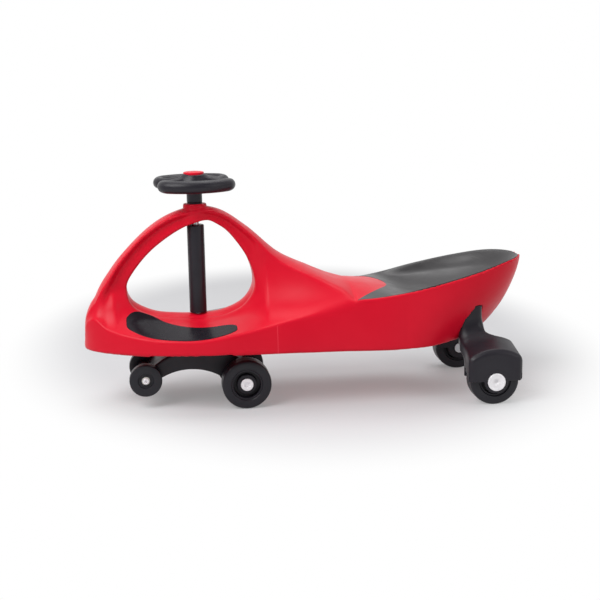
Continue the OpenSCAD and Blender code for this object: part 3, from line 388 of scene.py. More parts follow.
def form(field, low, high, step, rough=None, twin=False, rounds=2):
    """A closed mesh of a solid that is given by its field of distances.

    A rough field may stand in on the grid, and a twin is the same on both sides of y = 0.
    """
    low, high = np.array(low, float), np.array(high, float)
    if twin:
        high[1] = step * math.ceil(high[1] / step)
        low[1] = step / 2
    axes = [np.arange(l, h + step, step) for l, h in zip(low, high)]
    grid = np.stack(np.meshgrid(*axes, indexing="ij"), -1)
    flat = grid.reshape(-1, 3)
    parts = np.array_split(flat, len(flat) // CHUNK + 1)
    values = np.concatenate([(rough or field)(part) for part in parts]).reshape(grid.shape[:3])
    if twin:
        values = np.concatenate([values[:, ::-1], values], 1)
        low[1] = -axes[1][-1]
    verts, quads = skin(values, low, step)
    for _ in range(rounds):
        verts = settle(relax(verts, quads, 0.5), field, step)
    return verts, quads


def tube_field(path, radii):
    """Distance to a tube along a line of points, with a radius at each."""
    path, radii = np.array(path, float), np.array(radii, float)
    a, d = path[:-1], np.diff(path, axis=0)

    def at(p):
        w = p[:, None] - a
        t = np.clip((w * d).sum(2) / (d * d).sum(1), 0, 1)
        gap = np.linalg.norm(w - t[..., None] * d, axis=2)
        return (gap - mix(radii[:-1], radii[1:], t)).min(1)
    return at


# Meshes and pieces

def rounded(profile, steps=6):
    """A line through [r, z, radius] points with its corners rounded."""
    out = []
    n = len(profile)
    for i, (r, z, radius) in enumerate(profile):
        p = np.array((r, z), float)
        if radius <= 0:
            out.append(p)
            continue
        a, b = (np.array(profile[(i + s) % n][:2], float) - p for s in (-1, 1))
        la, lb = np.linalg.norm(a), np.linalg.norm(b)
        half = math.acos(np.clip(a @ b / (la * lb), -1, 1)) / 2
        cut = min(radius / math.tan(half), 0.49 * la, 0.49 * lb)
        s, e = p + a / la * cut, p + b / lb * cut
        for t in np.linspace(0, 1, steps + 1):
            out.append(s * (1 - t) ** 2 + p * 2 * t * (1 - t) + e * t**2)
    return np.array(out)


def lathe(profile, count=96):
    """A ring turned about Z from a closed outline of [r, z] points."""
    n = len(profile)
    a = np.linspace(0, 2 * np.pi, count, endpoint=False)
    ring = np.stack([np.outer(np.cos(a), profile[:, 0]), np.outer(np.sin(a), profile[:, 0]),
                     np.tile(profile[:, 1], (count, 1))], -1)
    i, k = np.meshgrid(np.arange(count), np.arange(n), indexing="ij")
    j, m = (i + 1) % count, (k + 1) % n
    quads = np.stack([i * n + k, j * n + k, j * n + m, i * n + m], -1)
    return ring.reshape(-1, 3), quads.reshape(-1, 4)


def slab(place, height, across, along, thick, edge, proud):
    """A thin closed slab over a surface, with its upper edge rounded."""
    near = np.array((0, 0.0015, 0.004, 0.008, 0.014))
    u = np.linspace(0, 1, across)
    v = np.concatenate([near, np.linspace(0.022, 0.978, along), 1 - near[::-1]])
    u, v = np.meshgrid(u, v, indexing="ij")
    x, y = place(u, v)
    gap = -ring_distance(rim(place, 160), x.ravel(), y.ravel()).reshape(x.shape)
    fall = edge - np.sqrt(np.maximum(0, edge**2 - (edge - np.clip(gap, 0, edge)) ** 2))
    z = height(x, y)
    top = np.stack([x, y, z + proud - fall], -1).reshape(-1, 3)
    low = np.stack([x, y, z - thick], -1).reshape(-1, 3)
    m, n = x.shape
    number = np.arange(m * n).reshape(m, n)
    quads = np.stack([number[:-1, :-1], number[1:, :-1], number[1:, 1:], number[:-1, 1:]], -1)
    quads = quads.reshape(-1, 4)
    loop = np.concatenate([number[:-1, 0], number[-1, :-1], number[:0:-1, -1], number[0, :0:-1]])
    after = np.roll(loop, -1)
    wall = np.stack([loop, after, after + m * n, loop + m * n], 1)
    return np.concatenate([top, low]), np.concatenate([quads, quads[:, ::-1] + m * n, wall])


def outward(verts, side, x, y, z):
    """Turns a solid that was drawn along Z so that it points out of the car's side."""
    v = np.asarray(verts)
    return np.stack([v[:, 0] + x, side * (v[:, 2] + y), v[:, 1] + z], -1)


def piece(name, verts, faces, body, material, stands_for=()):
    mesh = bpy.data.meshes.new(name)
    mesh.from_pydata((np.asarray(verts) * MM).tolist(), [], np.asarray(faces).tolist())
    work = bmesh.new()
    work.from_mesh(mesh)
    bmesh.ops.remove_doubles(work, verts=work.verts, dist=1e-6)
    bmesh.ops.recalc_face_normals(work, faces=work.faces)
    work.to_mesh(mesh)
    work.free()
    mesh.polygons.foreach_set("use_smooth", [True] * len(mesh.polygons))
    mesh.materials.append(material)
    mesh.update()
    obj = bpy.data.objects.new(name, mesh)
    bpy.context.scene.collection.objects.link(obj)
    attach(obj, body)
    if stands_for:
        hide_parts(*stands_for)
    return obj


# Materials

PATCH_SCALE, GLOSS_SCALE, GRAIN_DEPTH, RAMP_FROM, RAMP_TO = 9, 38, 0.0004, 0.35, 0.65


def plastic(name, colour, second, rough, grain, bump, gloss=0.5, metal=0.0):
    """A moulded or metal finish: two close colours in soft patches, fine grain and uneven gloss."""
    mat = bpy.data.materials.new(name)
    mat.use_nodes = True
    tree = mat.node_tree
    shader = tree.nodes["Principled BSDF"]
    place = tree.nodes.new("ShaderNodeTexCoord")

    def noise(scale, detail):
        node = tree.nodes.new("ShaderNodeTexNoise")
        node.inputs["Scale"].default_value = scale
        node.inputs["Detail"].default_value = detail
        tree.links.new(place.outputs["Object"], node.inputs["Vector"])
        return node.outputs["Fac"]

    def ramp(fac, low, high):
        node = tree.nodes.new("ShaderNodeValToRGB")
        node.color_ramp.elements[0].position = RAMP_FROM
        node.color_ramp.elements[1].position = RAMP_TO
        node.color_ramp.elements[0].color = low
        node.color_ramp.elements[1].color = high
        tree.links.new(fac, node.inputs["Fac"])
        return node.outputs["Color"]

    patches = noise(PATCH_SCALE, 3)
    tree.links.new(ramp(patches, (*colour, 1), (*second, 1)), shader.inputs["Base Color"])
    low, high = rough
    tree.links.new(ramp(noise(GLOSS_SCALE, 4), (low, low, low, 1), (high, high, high, 1)),
                   shader.inputs["Roughness"])
    shader.inputs["Metallic"].default_value = metal
    shader.inputs["Specular IOR Level"].default_value = gloss
    height = tree.nodes.new("ShaderNodeBump")
    height.inputs["Strength"].default_value = bump
    height.inputs["Distance"].default_value = GRAIN_DEPTH
    tree.links.new(noise(grain, 2), height.inputs["Height"])
    tree.links.new(height.outputs["Normal"], shader.inputs["Normal"])
    return mat


def add_seam_painted_highlight(mat, at, half, top, painted_highlight):
    """A fine parting line round the skirt, in a plane across the car and below a height, drawn in a
    lighter red as a painted highlight where its ridge would catch the light.
    """
    tree = mat.node_tree
    shader = tree.nodes["Principled BSDF"]
    place = tree.nodes.new("ShaderNodeTexCoord")
    split = tree.nodes.new("ShaderNodeSeparateXYZ")
    tree.links.new(place.outputs["Object"], split.inputs["Vector"])

    def math_node(operation, first, *rest):
        node = tree.nodes.new("ShaderNodeMath")
        node.operation = operation
        tree.links.new(first, node.inputs[0])
        for i, value in enumerate(rest, 1):
            if isinstance(value, float):
                node.inputs[i].default_value = value
            else:
                tree.links.new(value, node.inputs[i])
        return node.outputs["Value"]

    line = math_node("COMPARE", split.outputs["X"], at * MM, half * MM)
    line = math_node("MULTIPLY", line, math_node("LESS_THAN", split.outputs["Z"], top * MM))
    blend = tree.nodes.new("ShaderNodeMix")
    blend.data_type = "RGBA"
    socket = shader.inputs["Base Color"]
    tree.links.new(line, blend.inputs["Factor"])
    tree.links.new(socket.links[0].from_socket, blend.inputs["A"])
    # The line's colour is a painted highlight, lighter than the red round it.
    blend.inputs["B"].default_value = (*painted_highlight, 1)
    tree.links.new(blend.outputs["Result"], socket)


RED = plastic("red_moulding", (0.67, 0.004, 0.022), (0.70, 0.006, 0.025),
              (0.32, 0.40), 900, 0.08, 0.16)
SEAT = plastic("seat_grey", (0.018, 0.016, 0.018), (0.022, 0.020, 0.022),
               (0.34, 0.42), 700, 0.25, 0.6)
BLACK = plastic("black_moulding", (0.012, 0.010, 0.015), (0.016, 0.014, 0.020),
                (0.34, 0.46), 800, 0.18, 0.32)
PAD = plastic("pad_black", (0.011, 0.009, 0.013), (0.014, 0.012, 0.017),
              (0.22, 0.32), 800, 0.10, 0.09)
TYRE = plastic("tyre_black", (0.012, 0.011, 0.016), (0.016, 0.015, 0.020),
               (0.36, 0.50), 600, 0.25, 0.35)
STEEL = plastic("zinc_steel", (0.55, 0.56, 0.58), (0.62, 0.63, 0.65),
                (0.28, 0.42), 500, 0.10, metal=1)
BRIGHT = plastic("bright_metal", (0.92, 0.90, 0.92), (0.95, 0.93, 0.95),
                 (0.30, 0.42), 400, 0.12, metal=0.2)
NYLON = plastic("nylon", (0.62, 0.61, 0.56), (0.68, 0.67, 0.62), (0.40, 0.50), 500, 0.10)
FINISH = {"red_plastic": RED, "seat_plastic": SEAT, "black_plastic": BLACK, "tyre": TYRE,
          "steel": STEEL, "bright_metal": BRIGHT, "nylon": NYLON}
for sub in frame["record"]["subparts"]:
    node = frame["nodes"][sub["node"]]
    node.data.materials.clear()
    node.data.materials.append(FINISH[sub["material_slot"]])


# Body shell

FINE = 2.4
# The seam's colour is a painted highlight: a lighter red where the parting line's ridge would catch
# the light.
SEAM_X, SEAM_HALF, SEAM_TOP, SEAM_PAINTED_HIGHLIGHT = -64.0, 0.5, 152.0, (0.80, 0.05, 0.08)
SKIRT_FOOT, SKIRT_PASSES = 109, 6
NOSE_MORE, NOSE_FROM, NOSE_LOW, NOSE_MID, NOSE_TOP = 4.2, -345, 115, 155, 196
DRAW_IN, DRAW_BACK, DRAW_RISE, DRAW_FALL = 7, 0.35, (0, 0.35), (0.4, 1)
DRAW_FRONT, DRAW_REAR, DRAW_LOW, DRAW_HIGH = (-365, -345), (-100, -82), 5, 35
RIDGE, RIDGE_HALF, RIDGE_FADE = 6, 20, (185, 240)
ARCH_X, ARCH_REACH, ARCH_LOW, ARCH_HALF, FAR = -205, 160, 140, 80, 50.0
DISH_X, DISH_LOW, DISH_SKIN = 120, 150, (-25, -12)
END_BLEND, BOSS_BLEND, WINDOW_BLEND, COLLAR_BLEND, POST_EDGE, PAN_EDGE = 2, 6, 4, 1.5, 1.5, 1
SOFT_FROM, SOFT_TO, SOFT_UP, SOFT_PASSES = (-40, 30), (66, 84), (120, 145), 40
TABLE_X = np.arange(NOSE_END, TAIL_END + 0.5, 1.0)
SHARP = ease(sections(TABLE_X, 200), 3)
SOFT = (smooth(*SOFT_FROM, TABLE_X) * (1 - smooth(*SOFT_TO, TABLE_X)))[:, None]
SOFT = SOFT * smooth(*SOFT_UP, SHARP[..., 1])
TABLE = mix(SHARP, ease(SHARP, SOFT_PASSES), SOFT[..., None])
WINDOW_RING = closed_curve(WINDOW, 8)


def section_tree():
    """A search tree over the body's right half."""
    n = TABLE.shape[1]
    x = np.repeat(TABLE_X, n)
    verts = np.column_stack([x, TABLE[..., 0].ravel(), TABLE[..., 1].ravel()])
    i, j = np.meshgrid(np.arange(len(TABLE_X) - 1), np.arange(n - 1), indexing="ij")
    a = (i * n + j).ravel()
    quads = np.stack([a, a + 1, a + n + 1, a + n], 1)
    return BVHTree.FromPolygons(verts.tolist(), quads.tolist())


TREE = section_tree()


def tree_distance(x, y, z):
    out = np.empty(len(x))
    for i, p in enumerate(np.column_stack([x, y, z]).tolist()):
        at, normal, _, gap = TREE.find_nearest(p)
        side = (p[0] - at[0]) * normal[0] + (p[1] - at[1]) * normal[1] + (p[2] - at[2]) * normal[2]
        out[i] = gap if side > 0 else -gap
    return out


def rough_distance(x, y, z):
    at = np.clip(x - NOSE_END, 0, len(TABLE_X) - 1).astype(int)
    out = np.empty(len(x))
    for i in np.unique(at):
        here = at == i
        row = TABLE[i:i + 1, ::4]
        out[here] = line_distance(row[..., 0], row[..., 1], y[here], z[here])
    return out


def bar_distance(x, y):
    """Distance on the plan to the flat bar with round ends that a fork's post is."""
    along = np.maximum(np.abs(x - POST_X) - POST_HALF + POST_ROUND, 0)
    return np.hypot(along, y - POST_Y) - POST_ROUND


def pan_side(x):
    """Half width of the space under the body, with an even wall round it."""
    near, here, far = (np.minimum(half_width(x + s), keel_width(x + s)) for s in (-0.5, 0, 0.5))
    return here - WALL * np.hypot(1, far - near)


def arch_hollow(x, z, hole):
    """How far the arch's side draws in between its crease and the window."""
    slope = (top_z(x + 1) - top_z(x - 1)) / 2
    below = np.maximum(crease_z(x) - z, 0) / np.hypot(1, slope)
    share = below / np.maximum(below + np.maximum(hole, 0), 1)
    deep = smooth(*DRAW_RISE, share) * (1 - DRAW_BACK * smooth(*DRAW_FALL, share))
    low = corner_z_line(x)
    here = smooth(*DRAW_FRONT, x) * (1 - smooth(*DRAW_REAR, x))
    return DRAW_IN * deep * (here * smooth(low + DRAW_LOW, low + DRAW_HIGH, z))


def body_field(p, distance=tree_distance):
    """The shell: its sections with the seat's hollow, the window, the collar and the gaps."""
    x, y, z = p[:, 0], np.abs(p[:, 1]), p[:, 2]
    d = distance(x, y, z)
    near = (np.abs(x - ARCH_X) < ARCH_REACH) & (z > ARCH_LOW) & (y < ARCH_HALF)
    hole = np.full(len(x), FAR)
    if near.any():
        crest = RIDGE * np.maximum(0, 1 - (y[near] / RIDGE_HALF) ** 2)
        crest = crest * (1 - smooth(*RIDGE_FADE, z[near]))
        hole[near] = ring_distance(WINDOW_RING, x[near], z[near] - crest)
        d[near] += arch_hollow(x[near], z[near], hole[near])
    seat = (x > DISH_X) & (z > DISH_LOW)
    if seat.any():
        xs, ys = x[seat], y[seat]
        across = np.minimum(1, ys / np.maximum(crease_y(xs), 1))
        above = z[seat] - mix(top_z(xs), edge_z(xs), across**2)
        d[seat] += seat_hollow(xs, ys) * smooth(*DISH_SKIN, above)
    d = soft_max(d, np.maximum(NOSE_END - x, x - TAIL_END), END_BLEND)
    rod = np.hypot(x - COLUMN_X, y)
    boss = np.maximum(rod - BOSS_R, np.maximum(z - top_z(x) + BOSS_COVER, BOSS_LOW - z))
    d = soft_min(d, boss, BOSS_BLEND)
    d = soft_max(d, -hole, WINDOW_BLEND)
    collar = np.maximum(rod - COLLAR_R, np.maximum(z - COLLAR_Z, COLLAR_LOW - z))
    d = soft_min(d, collar, COLLAR_BLEND)
    post = np.maximum(bar_distance(x, y) - FIT, z - POST_Z)
    d = soft_max(d, -post, POST_EDGE)
    pan = np.maximum(np.maximum(y - pan_side(x), z - PAN_TOP_Z),
                     np.maximum(x - PAN_REAR_X, PAN_FRONT_X - x))
    return soft_max(d, -pan, PAN_EDGE)


verts, quads = form(body_field, (NOSE_END - 6, -122, 94), (TAIL_END + 6, 122, 356), FINE,
                    lambda p: body_field(p, rough_distance), twin=True)
for _ in range(SKIRT_PASSES):
    foot = verts[:, 2] < SKIRT_FOOT
    verts[foot] = relax(verts, quads, 0.5)[foot]
height = verts[:, 2]
nose = smooth(NOSE_TOP, NOSE_MID, height) * mix(0.5, 1, smooth(NOSE_LOW, NOSE_MID, height))
verts[:, 0] -= NOSE_MORE * nose * smooth(NOSE_FROM, NOSE_END, verts[:, 0])
SHELL_RED = RED.copy()
SHELL_RED.name = "red_shell"
# The parting line is drawn on the shell as a painted highlight in lighter red.
add_seam_painted_highlight(SHELL_RED, SEAM_X, SEAM_HALF, SEAM_TOP, SEAM_PAINTED_HIGHLIGHT)
piece("shell", verts, quads, "body", SHELL_RED, ("body_shell",))


# Seat and footrest pads

def pad_height(x, y):
    """Height of the eased deck under a pad."""
    reach = 6
    z = deck_height(x, y)
    for i in np.ndindex(z.shape):
        at = TREE.ray_cast((x[i], y[i], z[i] + reach), (0, 0, -1), 2 * reach)[0]
        if at is not None:
            z[i] = max(z[i], at[2])
    return z


verts, quads = slab(seat_place, seat_height, 161, 130, SEAT_THICK, SEAT_EDGE, SEAT_PROUD)
piece("seat", verts, quads, "body", SEAT, ("seat_cover",))
for name, side in SIDES:
    verts, quads = slab(pad_place, pad_height, 160, 50, PAD_THICK, PAD_EDGE, PAD_PROUD)
    piece("pad_" + name, verts * (1, side, 1), quads, "body", PAD,
          ("footrest_pad_" + name,))


# Steering wheel

GRIP_Z, GRIP_R, GRIP_BEND, GRIP_SHIFT, GRIP_TURN = 387, 11, 80, 16, 18
GRIP_ANGLE, TURN_ANGLE, WHEEL_SET = math.radians(39), math.radians(118), math.radians(5)
SPOKE_IN, SPOKE_RISE, SPOKE_SHARE, SPOKE_BLEND = 12, 7, 0.82, 9
STEM_R, STEM_Z, HUB_R, CAP_R, CAP_RISE, HUB_RISE = 13.5, 354.3, 26, 18, 5, 16


def grip_path():
    """Middle line and radius of a grip: spoke, end bend, long curve, end bend, spoke."""
    inner = GRIP_BEND - GRIP_TURN
    middle = np.array((inner * math.sin(GRIP_ANGLE), GRIP_SHIFT - inner * math.cos(GRIP_ANGLE)))
    bend_end = GRIP_ANGLE - math.pi / 2
    a = np.linspace(-math.pi / 2, bend_end, 14)
    bend = np.stack([GRIP_BEND * np.cos(a), GRIP_SHIFT + GRIP_BEND * np.sin(a)], 1)
    a = np.linspace(bend_end, bend_end + TURN_ANGLE, 14)[1:]
    turn = middle + GRIP_TURN * np.stack([np.cos(a), np.sin(a)], 1)
    spoke = turn[-1:] * SPOKE_IN / np.linalg.norm(turn[-1])
    half = np.concatenate([bend, turn, spoke])
    share = np.concatenate([np.ones(len(bend)), np.linspace(1, SPOKE_SHARE, len(turn) + 1)[1:],
                            [SPOKE_SHARE]])
    far = np.linalg.norm(half, axis=1) / np.linalg.norm(turn[-1])
    half = np.column_stack([half, SPOKE_RISE * (1 - np.minimum(1, far))])
    path = np.concatenate([half[:0:-1] * (-1, 1, 1), half])
    return path, GRIP_R * np.concatenate([share[:0:-1], share])


GRIP = tube_field(*grip_path())
HUB_LINE = rounded([(0, STEM_Z - GRIP_Z, 0), (STEM_R, STEM_Z - GRIP_Z, 1), (STEM_R, -GRIP_R - 2, 4),
                    (STEM_R + 4, -GRIP_R + 2, 4), (HUB_R, -GRIP_R + 5, 3), (HUB_R, 4, 4),
                    (CAP_R + 1, HUB_RISE, 2), (0, HUB_RISE, 0)])[None]


def wheel_field(p):
    p = p - (COLUMN_X, 0, GRIP_Z)
    c, t = math.cos(WHEEL_SET), math.sin(WHEEL_SET)
    p = np.stack([c * p[:, 0] + t * p[:, 1], c * p[:, 1] - t * p[:, 0], p[:, 2]], 1)
    grips = np.minimum(GRIP(p), GRIP(p * (-1, -1, 1)))
    hub = line_distance(HUB_LINE[..., 0], HUB_LINE[..., 1], np.hypot(p[:, 0], p[:, 1]), p[:, 2])
    return soft_min(grips, hub, SPOKE_BLEND)


verts, quads = form(wheel_field, (COLUMN_X - 90, -90, STEM_Z - 4), (COLUMN_X + 90, 90, 412),
                    FINE * 0.6)
piece("handlebar", verts, quads, "steering", BLACK, ("steering_wheel",))
CAP_Z = GRIP_Z + HUB_RISE
cap = rounded([(0.4, -2, 0), (CAP_R, -2, 0.4), (CAP_R, CAP_RISE - 1, 2), (9, CAP_RISE, 8),
               (0.4, CAP_RISE, 0)])
verts, quads = lathe(cap)
piece("button", verts + (COLUMN_X, 0, CAP_Z), quads, "steering", RED, ("wheel_cap",))
SLEEVE_R, SLEEVE_LOW, SLEEVE_HIGH, SHAFT_R = 15, 159.6, 315, 6.4
sleeve = rounded([(SHAFT_R, SLEEVE_LOW, 0), (SLEEVE_R, SLEEVE_LOW, 0.5),
                  (SLEEVE_R, SLEEVE_HIGH, 2.5), (SHAFT_R, SLEEVE_HIGH, 0.5)])
verts, quads = lathe(sleeve)
piece("sleeve", verts + (COLUMN_X, 0, 0), quads, "steering", BLACK,
      ("column_sleeve",))


# Wheels and what shows on their axles

WHEEL_R, WHEEL_HALF, TYRE_R, TYRE_SEAT = 43, 18, 27, 16.6
HUB_BORE, HUB_CORE_R, HUB_RIM_R, HUB_WEB, HUB_RIM, HUB_CORE = 8.05, 17, 24, 3, 16, 13
SAFETY_BORE = 7.05
MAIN_X, MAIN_Y, REAR_X, REAR_Y = -116, 69, 310, 126
SAFETY_X, SAFETY_Y, SAFETY_Z, SAFETY_R, SAFETY_HALF = -290, 50, 52, 28.5, 9
TYRE_LINE = rounded([(TYRE_R + 0.1, -TYRE_SEAT, 0.6), (TYRE_R + 1.4, -WHEEL_HALF, 1),
                     (WHEEL_R, -WHEEL_HALF, 6), (WHEEL_R, -0.7, 0.3), (WHEEL_R - 0.5, 0, 0.3),
                     (WHEEL_R, 0.7, 0.3), (WHEEL_R, WHEEL_HALF, 6), (TYRE_R + 1.4, WHEEL_HALF, 1),
                     (TYRE_R + 0.1, TYRE_SEAT, 0.6)])
HUB_FORM = rounded([(HUB_BORE, -17.7, 0.3), (HUB_CORE_R, -17.7, 1), (HUB_CORE_R, -HUB_WEB, 1.5),
                    (HUB_RIM_R, -HUB_WEB, 1.5), (HUB_RIM_R, -HUB_RIM, 0.8), (TYRE_R, -HUB_RIM, 0.5),
                    (TYRE_R, HUB_RIM, 0.5), (HUB_RIM_R, HUB_RIM, 0.8), (HUB_RIM_R, HUB_WEB, 1.5),
                    (HUB_CORE_R, HUB_WEB, 1.5), (HUB_CORE_R, HUB_CORE, 1.5),
                    (HUB_BORE, HUB_CORE, 0.3)])
SAFETY_LINE = rounded([(SAFETY_BORE, -SAFETY_HALF, 0), (SAFETY_R, -SAFETY_HALF, 3),
                       (SAFETY_R, SAFETY_HALF, 3), (14, SAFETY_HALF, 0.8), (13, 6, 0.5),
                       (10, 6, 0.5), (10, 7, 0.4), (SAFETY_BORE, 7, 0)])


def screw(radius, height, flats):
    """A domed screw head with a hexagonal socket."""
    def field(p):
        r, z = np.hypot(p[:, 0], p[:, 1]), p[:, 2]
        head = soft_max(r - radius, np.abs(z - height / 2) - height / 2, 1.6)
        sides = [np.abs(p[:, 0] * math.cos(a) + p[:, 1] * math.sin(a))
                 for a in (0, math.pi / 3, 2 * math.pi / 3)]
        socket = np.maximum(np.max(sides, axis=0) - flats, height * 0.15 - z)
        return soft_max(head, -socket, 0.4)
    reach = radius + 2
    return form(field, (-reach, -reach, -2), (reach, reach, height + 2), 0.55)


def end_cap(radius, height):
    """A round cap with a shallow dish in its face."""
    return lathe(rounded([(0.4, -0.5, 0), (radius, -0.5, 0.3), (radius, height, 1.2),
                          (radius - 3, height, 0.8), (radius - 4, height - 0.6, 0.8),
                          (0.4, height - 0.3, 0)]))


def turned(name, shape, body, material, stands_for, side, x, y, z):
    verts, quads = shape
    piece(name, outward(verts, side, x, y, z), quads, body, material, stands_for)


def turned_pair(name, shape, body, material, stands_for, x, y, z):
    """The same piece on both sides of the car, in one mesh."""
    verts, quads = shape
    both = np.concatenate([outward(verts, side, x, y, z) for _, side in SIDES])
    piece(name, both, np.concatenate([quads, quads + len(verts)]), body, material, stands_for)


for name, side in SIDES:
    for axle, x, y in (("main", MAIN_X, MAIN_Y), ("rear", REAR_X, REAR_Y)):
        body = axle + "_wheel_" + name
        turned(axle + "_tread_" + name, lathe(TYRE_LINE, 128), body, TYRE,
               (axle + "_tyre_" + name,), side, x, y, WHEEL_R)
        turned(axle + "_disc_" + name, lathe(HUB_FORM), body, BLACK,
               (axle + "_hub_" + name,), side, x, y, WHEEL_R)
    turned("safety_roller_" + name, lathe(SAFETY_LINE), "safety_wheel_" + name, TYRE,
           ("safety_wheel_" + name,), side, SAFETY_X, SAFETY_Y, SAFETY_Z)
MAIN_END, SAFETY_END, FORK_OUT, FORK_IN = 82.3, 57.3, 152, 100
turned_pair("main_heads", screw(11, 3.5, 4.6), "steering", BRIGHT,
            ("main_axle_screws",), MAIN_X, MAIN_END, WHEEL_R)
turned_pair("safety_heads", screw(5.5, 3.5, 2.4), "steering", BRIGHT,
            ("safety_axle_screws",), SAFETY_X, SAFETY_END, SAFETY_Z)
turned_pair("rear_caps", end_cap(15.5, 3.5), "body", BRIGHT,
            ("rear_axle_caps",), REAR_X, FORK_OUT, WHEEL_R)


# Rear forks

FENDER_HALF, FENDER_SIDE, FENDER_CROWN, BEVEL = 48, 41, 57, 6
FENDER_BULGE = FENDER_CROWN - FENDER_SIDE
FENDER_ARCH = (FENDER_HALF**2 + FENDER_BULGE**2) / (2 * FENDER_BULGE)
SHOULDER_INSET, SHOULDER_RISE, POST_FOOT_Z = 4, 18, 98
FORK_WALL, WHEEL_ROOM, FORK_BOSS_R, AXLE_BOSS_R = 5, 3.5, 21, 10
FORK_HALF, POST_BLEND, POST_CLEAR = (FORK_OUT - FORK_IN) / 2, 34, 44


def fork_field(p):
    """The right fork: a post, and a fender that opens downwards round the wheel."""
    x, out, up = p[:, 0] - REAR_X, p[:, 1], p[:, 2] - WHEEL_R
    toward_body = np.clip((FORK_OUT - BEVEL - out) / (FORK_OUT - BEVEL - FORK_IN), 0, 1)
    inset = np.where(out > FORK_OUT - BEVEL, out - FORK_OUT + BEVEL, SHOULDER_INSET * toward_body)
    crown = FENDER_CROWN + SHOULDER_RISE * toward_body - inset
    arch = np.hypot(x, up - crown + FENDER_ARCH) - FENDER_ARCH
    sides = soft_max(np.abs(x) - FENDER_HALF + inset, arch, 7)
    fender = np.maximum(sides, -up)
    across = np.abs(out - REAR_Y) - FORK_HALF
    fender = soft_max(fender, across, 2.5)
    boss = np.maximum(np.hypot(x, up) - FORK_BOSS_R, across)
    post = np.maximum(bar_distance(p[:, 0], out),
                      np.maximum(POST_FOOT_Z - p[:, 2], p[:, 2] - POST_Z))
    d = soft_min(soft_min(fender, boss, 1), post, POST_BLEND)
    d = np.where(p[:, 2] > POST_FOOT_Z + POST_CLEAR, post, d)
    room = WHEEL_R + WHEEL_ROOM
    space = np.where(up > 0, np.hypot(x, up), np.abs(x)) - room
    space = np.maximum(space, np.maximum(FORK_IN + FORK_WALL - out, out - FORK_OUT + FORK_WALL))
    space = np.maximum(space, AXLE_BOSS_R - np.hypot(x, up))
    return soft_max(d, -space, 1)


verts, quads = form(fork_field, (POST_X - 30, POST_Y - 18, 14),
                    (REAR_X + 56, FORK_OUT + 6, POST_Z + 6), FINE * 0.8)
for name, side in SIDES:
    piece("fork_" + name, verts * (1, side, 1), quads, "body", BLACK,
          ("rear_fork_" + name,))


# Truck frame

TRUCK_ARCH, TRUCK_UNDER, TRUCK_HALF, TRUCK_WALL, TRUCK_TOP_Z = 126, 103, 38, 6, 107
ARCH_MID, UNDER_MID = (COLUMN_X - 3, -25), (COLUMN_X - 20, -39.5)
SAFETY_LOW, MAIN_LOW = 42, 34
MAIN_BOSS_R, MAIN_BOSS_HALF, SAFETY_BOSS_R, SAFETY_BOSS_HALF = 17, 50.7, 13, 40.7
TRUCK_BOSS_R, BOSS_LOW_Z = 17, 84


def truck_field(p):
    """An arched frame, open below, with a boss for the shaft and for each axle."""
    x, y, z = p[:, 0], np.abs(p[:, 1]), p[:, 2]
    crown = np.hypot(x - ARCH_MID[0], z - ARCH_MID[1])
    under = TRUCK_UNDER - np.hypot(x - UNDER_MID[0], z - UNDER_MID[1])
    foot = mix(SAFETY_LOW, MAIN_LOW, (x - SAFETY_X) / (MAIN_X - SAFETY_X)) - z
    ends = np.maximum(SAFETY_X - x, x - MAIN_X)
    side = np.maximum(np.maximum(under, foot), ends)
    outer = soft_max(soft_max(crown - TRUCK_ARCH, y - TRUCK_HALF, 4), side, 2)
    inner = np.maximum(crown - TRUCK_ARCH + TRUCK_WALL, y - TRUCK_HALF + TRUCK_WALL)
    d = soft_max(outer, -inner, 1)
    for axle_x, axle_z, radius, half in ((MAIN_X, WHEEL_R, MAIN_BOSS_R, MAIN_BOSS_HALF),
                                         (SAFETY_X, SAFETY_Z, SAFETY_BOSS_R, SAFETY_BOSS_HALF)):
        d = soft_min(d, soft_max(np.hypot(x - axle_x, z - axle_z) - radius, y - half, 1.5), 4)
    stem = np.maximum(np.hypot(x - COLUMN_X, y) - TRUCK_BOSS_R,
                      np.maximum(BOSS_LOW_Z - z, z - TRUCK_TOP_Z))
    return soft_min(d, stem, 3)


verts, quads = form(truck_field, (SAFETY_X - 18, -56, 20), (MAIN_X + 22, 56, TRUCK_TOP_Z + 5),
                    FINE * 0.8, twin=True)
piece("truck", verts, quads, "steering", BLACK, ("truck_frame",))


# Camera, light and floor

CAMERA_AT = np.array((-295.7, -2175.2, 627.4))
YAW, PITCH, ROLL = 0.1307, 0.2049, -0.0186
FOCAL_PX, FRAME_PX, SENSOR = 1250.5, 600, 36.0


def add_camera():
    ahead = np.array((math.sin(YAW) * math.cos(PITCH), math.cos(YAW) * math.cos(PITCH),
                      -math.sin(PITCH)))
    right = np.array((math.cos(YAW), -math.sin(YAW), 0))
    up = np.cross(right, ahead)
    r = math.cos(ROLL) * right + math.sin(ROLL) * up
    u = -math.sin(ROLL) * right + math.cos(ROLL) * up
    data = bpy.data.cameras.new("camera")
    data.sensor_width = SENSOR
    data.sensor_fit = "HORIZONTAL"
    data.lens = FOCAL_PX / FRAME_PX * SENSOR
    data.clip_end = 50
    camera = bpy.data.objects.new("camera", data)
    world = Matrix.Identity(4)
    for i in range(3):
        world[i][0], world[i][1], world[i][2] = r[i], u[i], -ahead[i]
        world[i][3] = CAMERA_AT[i] * MM
    camera.matrix_world = world
    bpy.context.scene.collection.objects.link(camera)
    bpy.context.scene.camera = camera


def add_lamp(name, place, size, power):
    data = bpy.data.lights.new(name, "AREA")
    data.shape = "DISK"
    data.size = size
    data.energy = power
    lamp = bpy.data.objects.new(name, data)
    lamp.location = place
    direction = Vector(LAMP_TARGET) - Vector(place)
    lamp.rotation_euler = direction.to_track_quat("-Z", "Y").to_euler()
    bpy.context.scene.collection.objects.link(lamp)


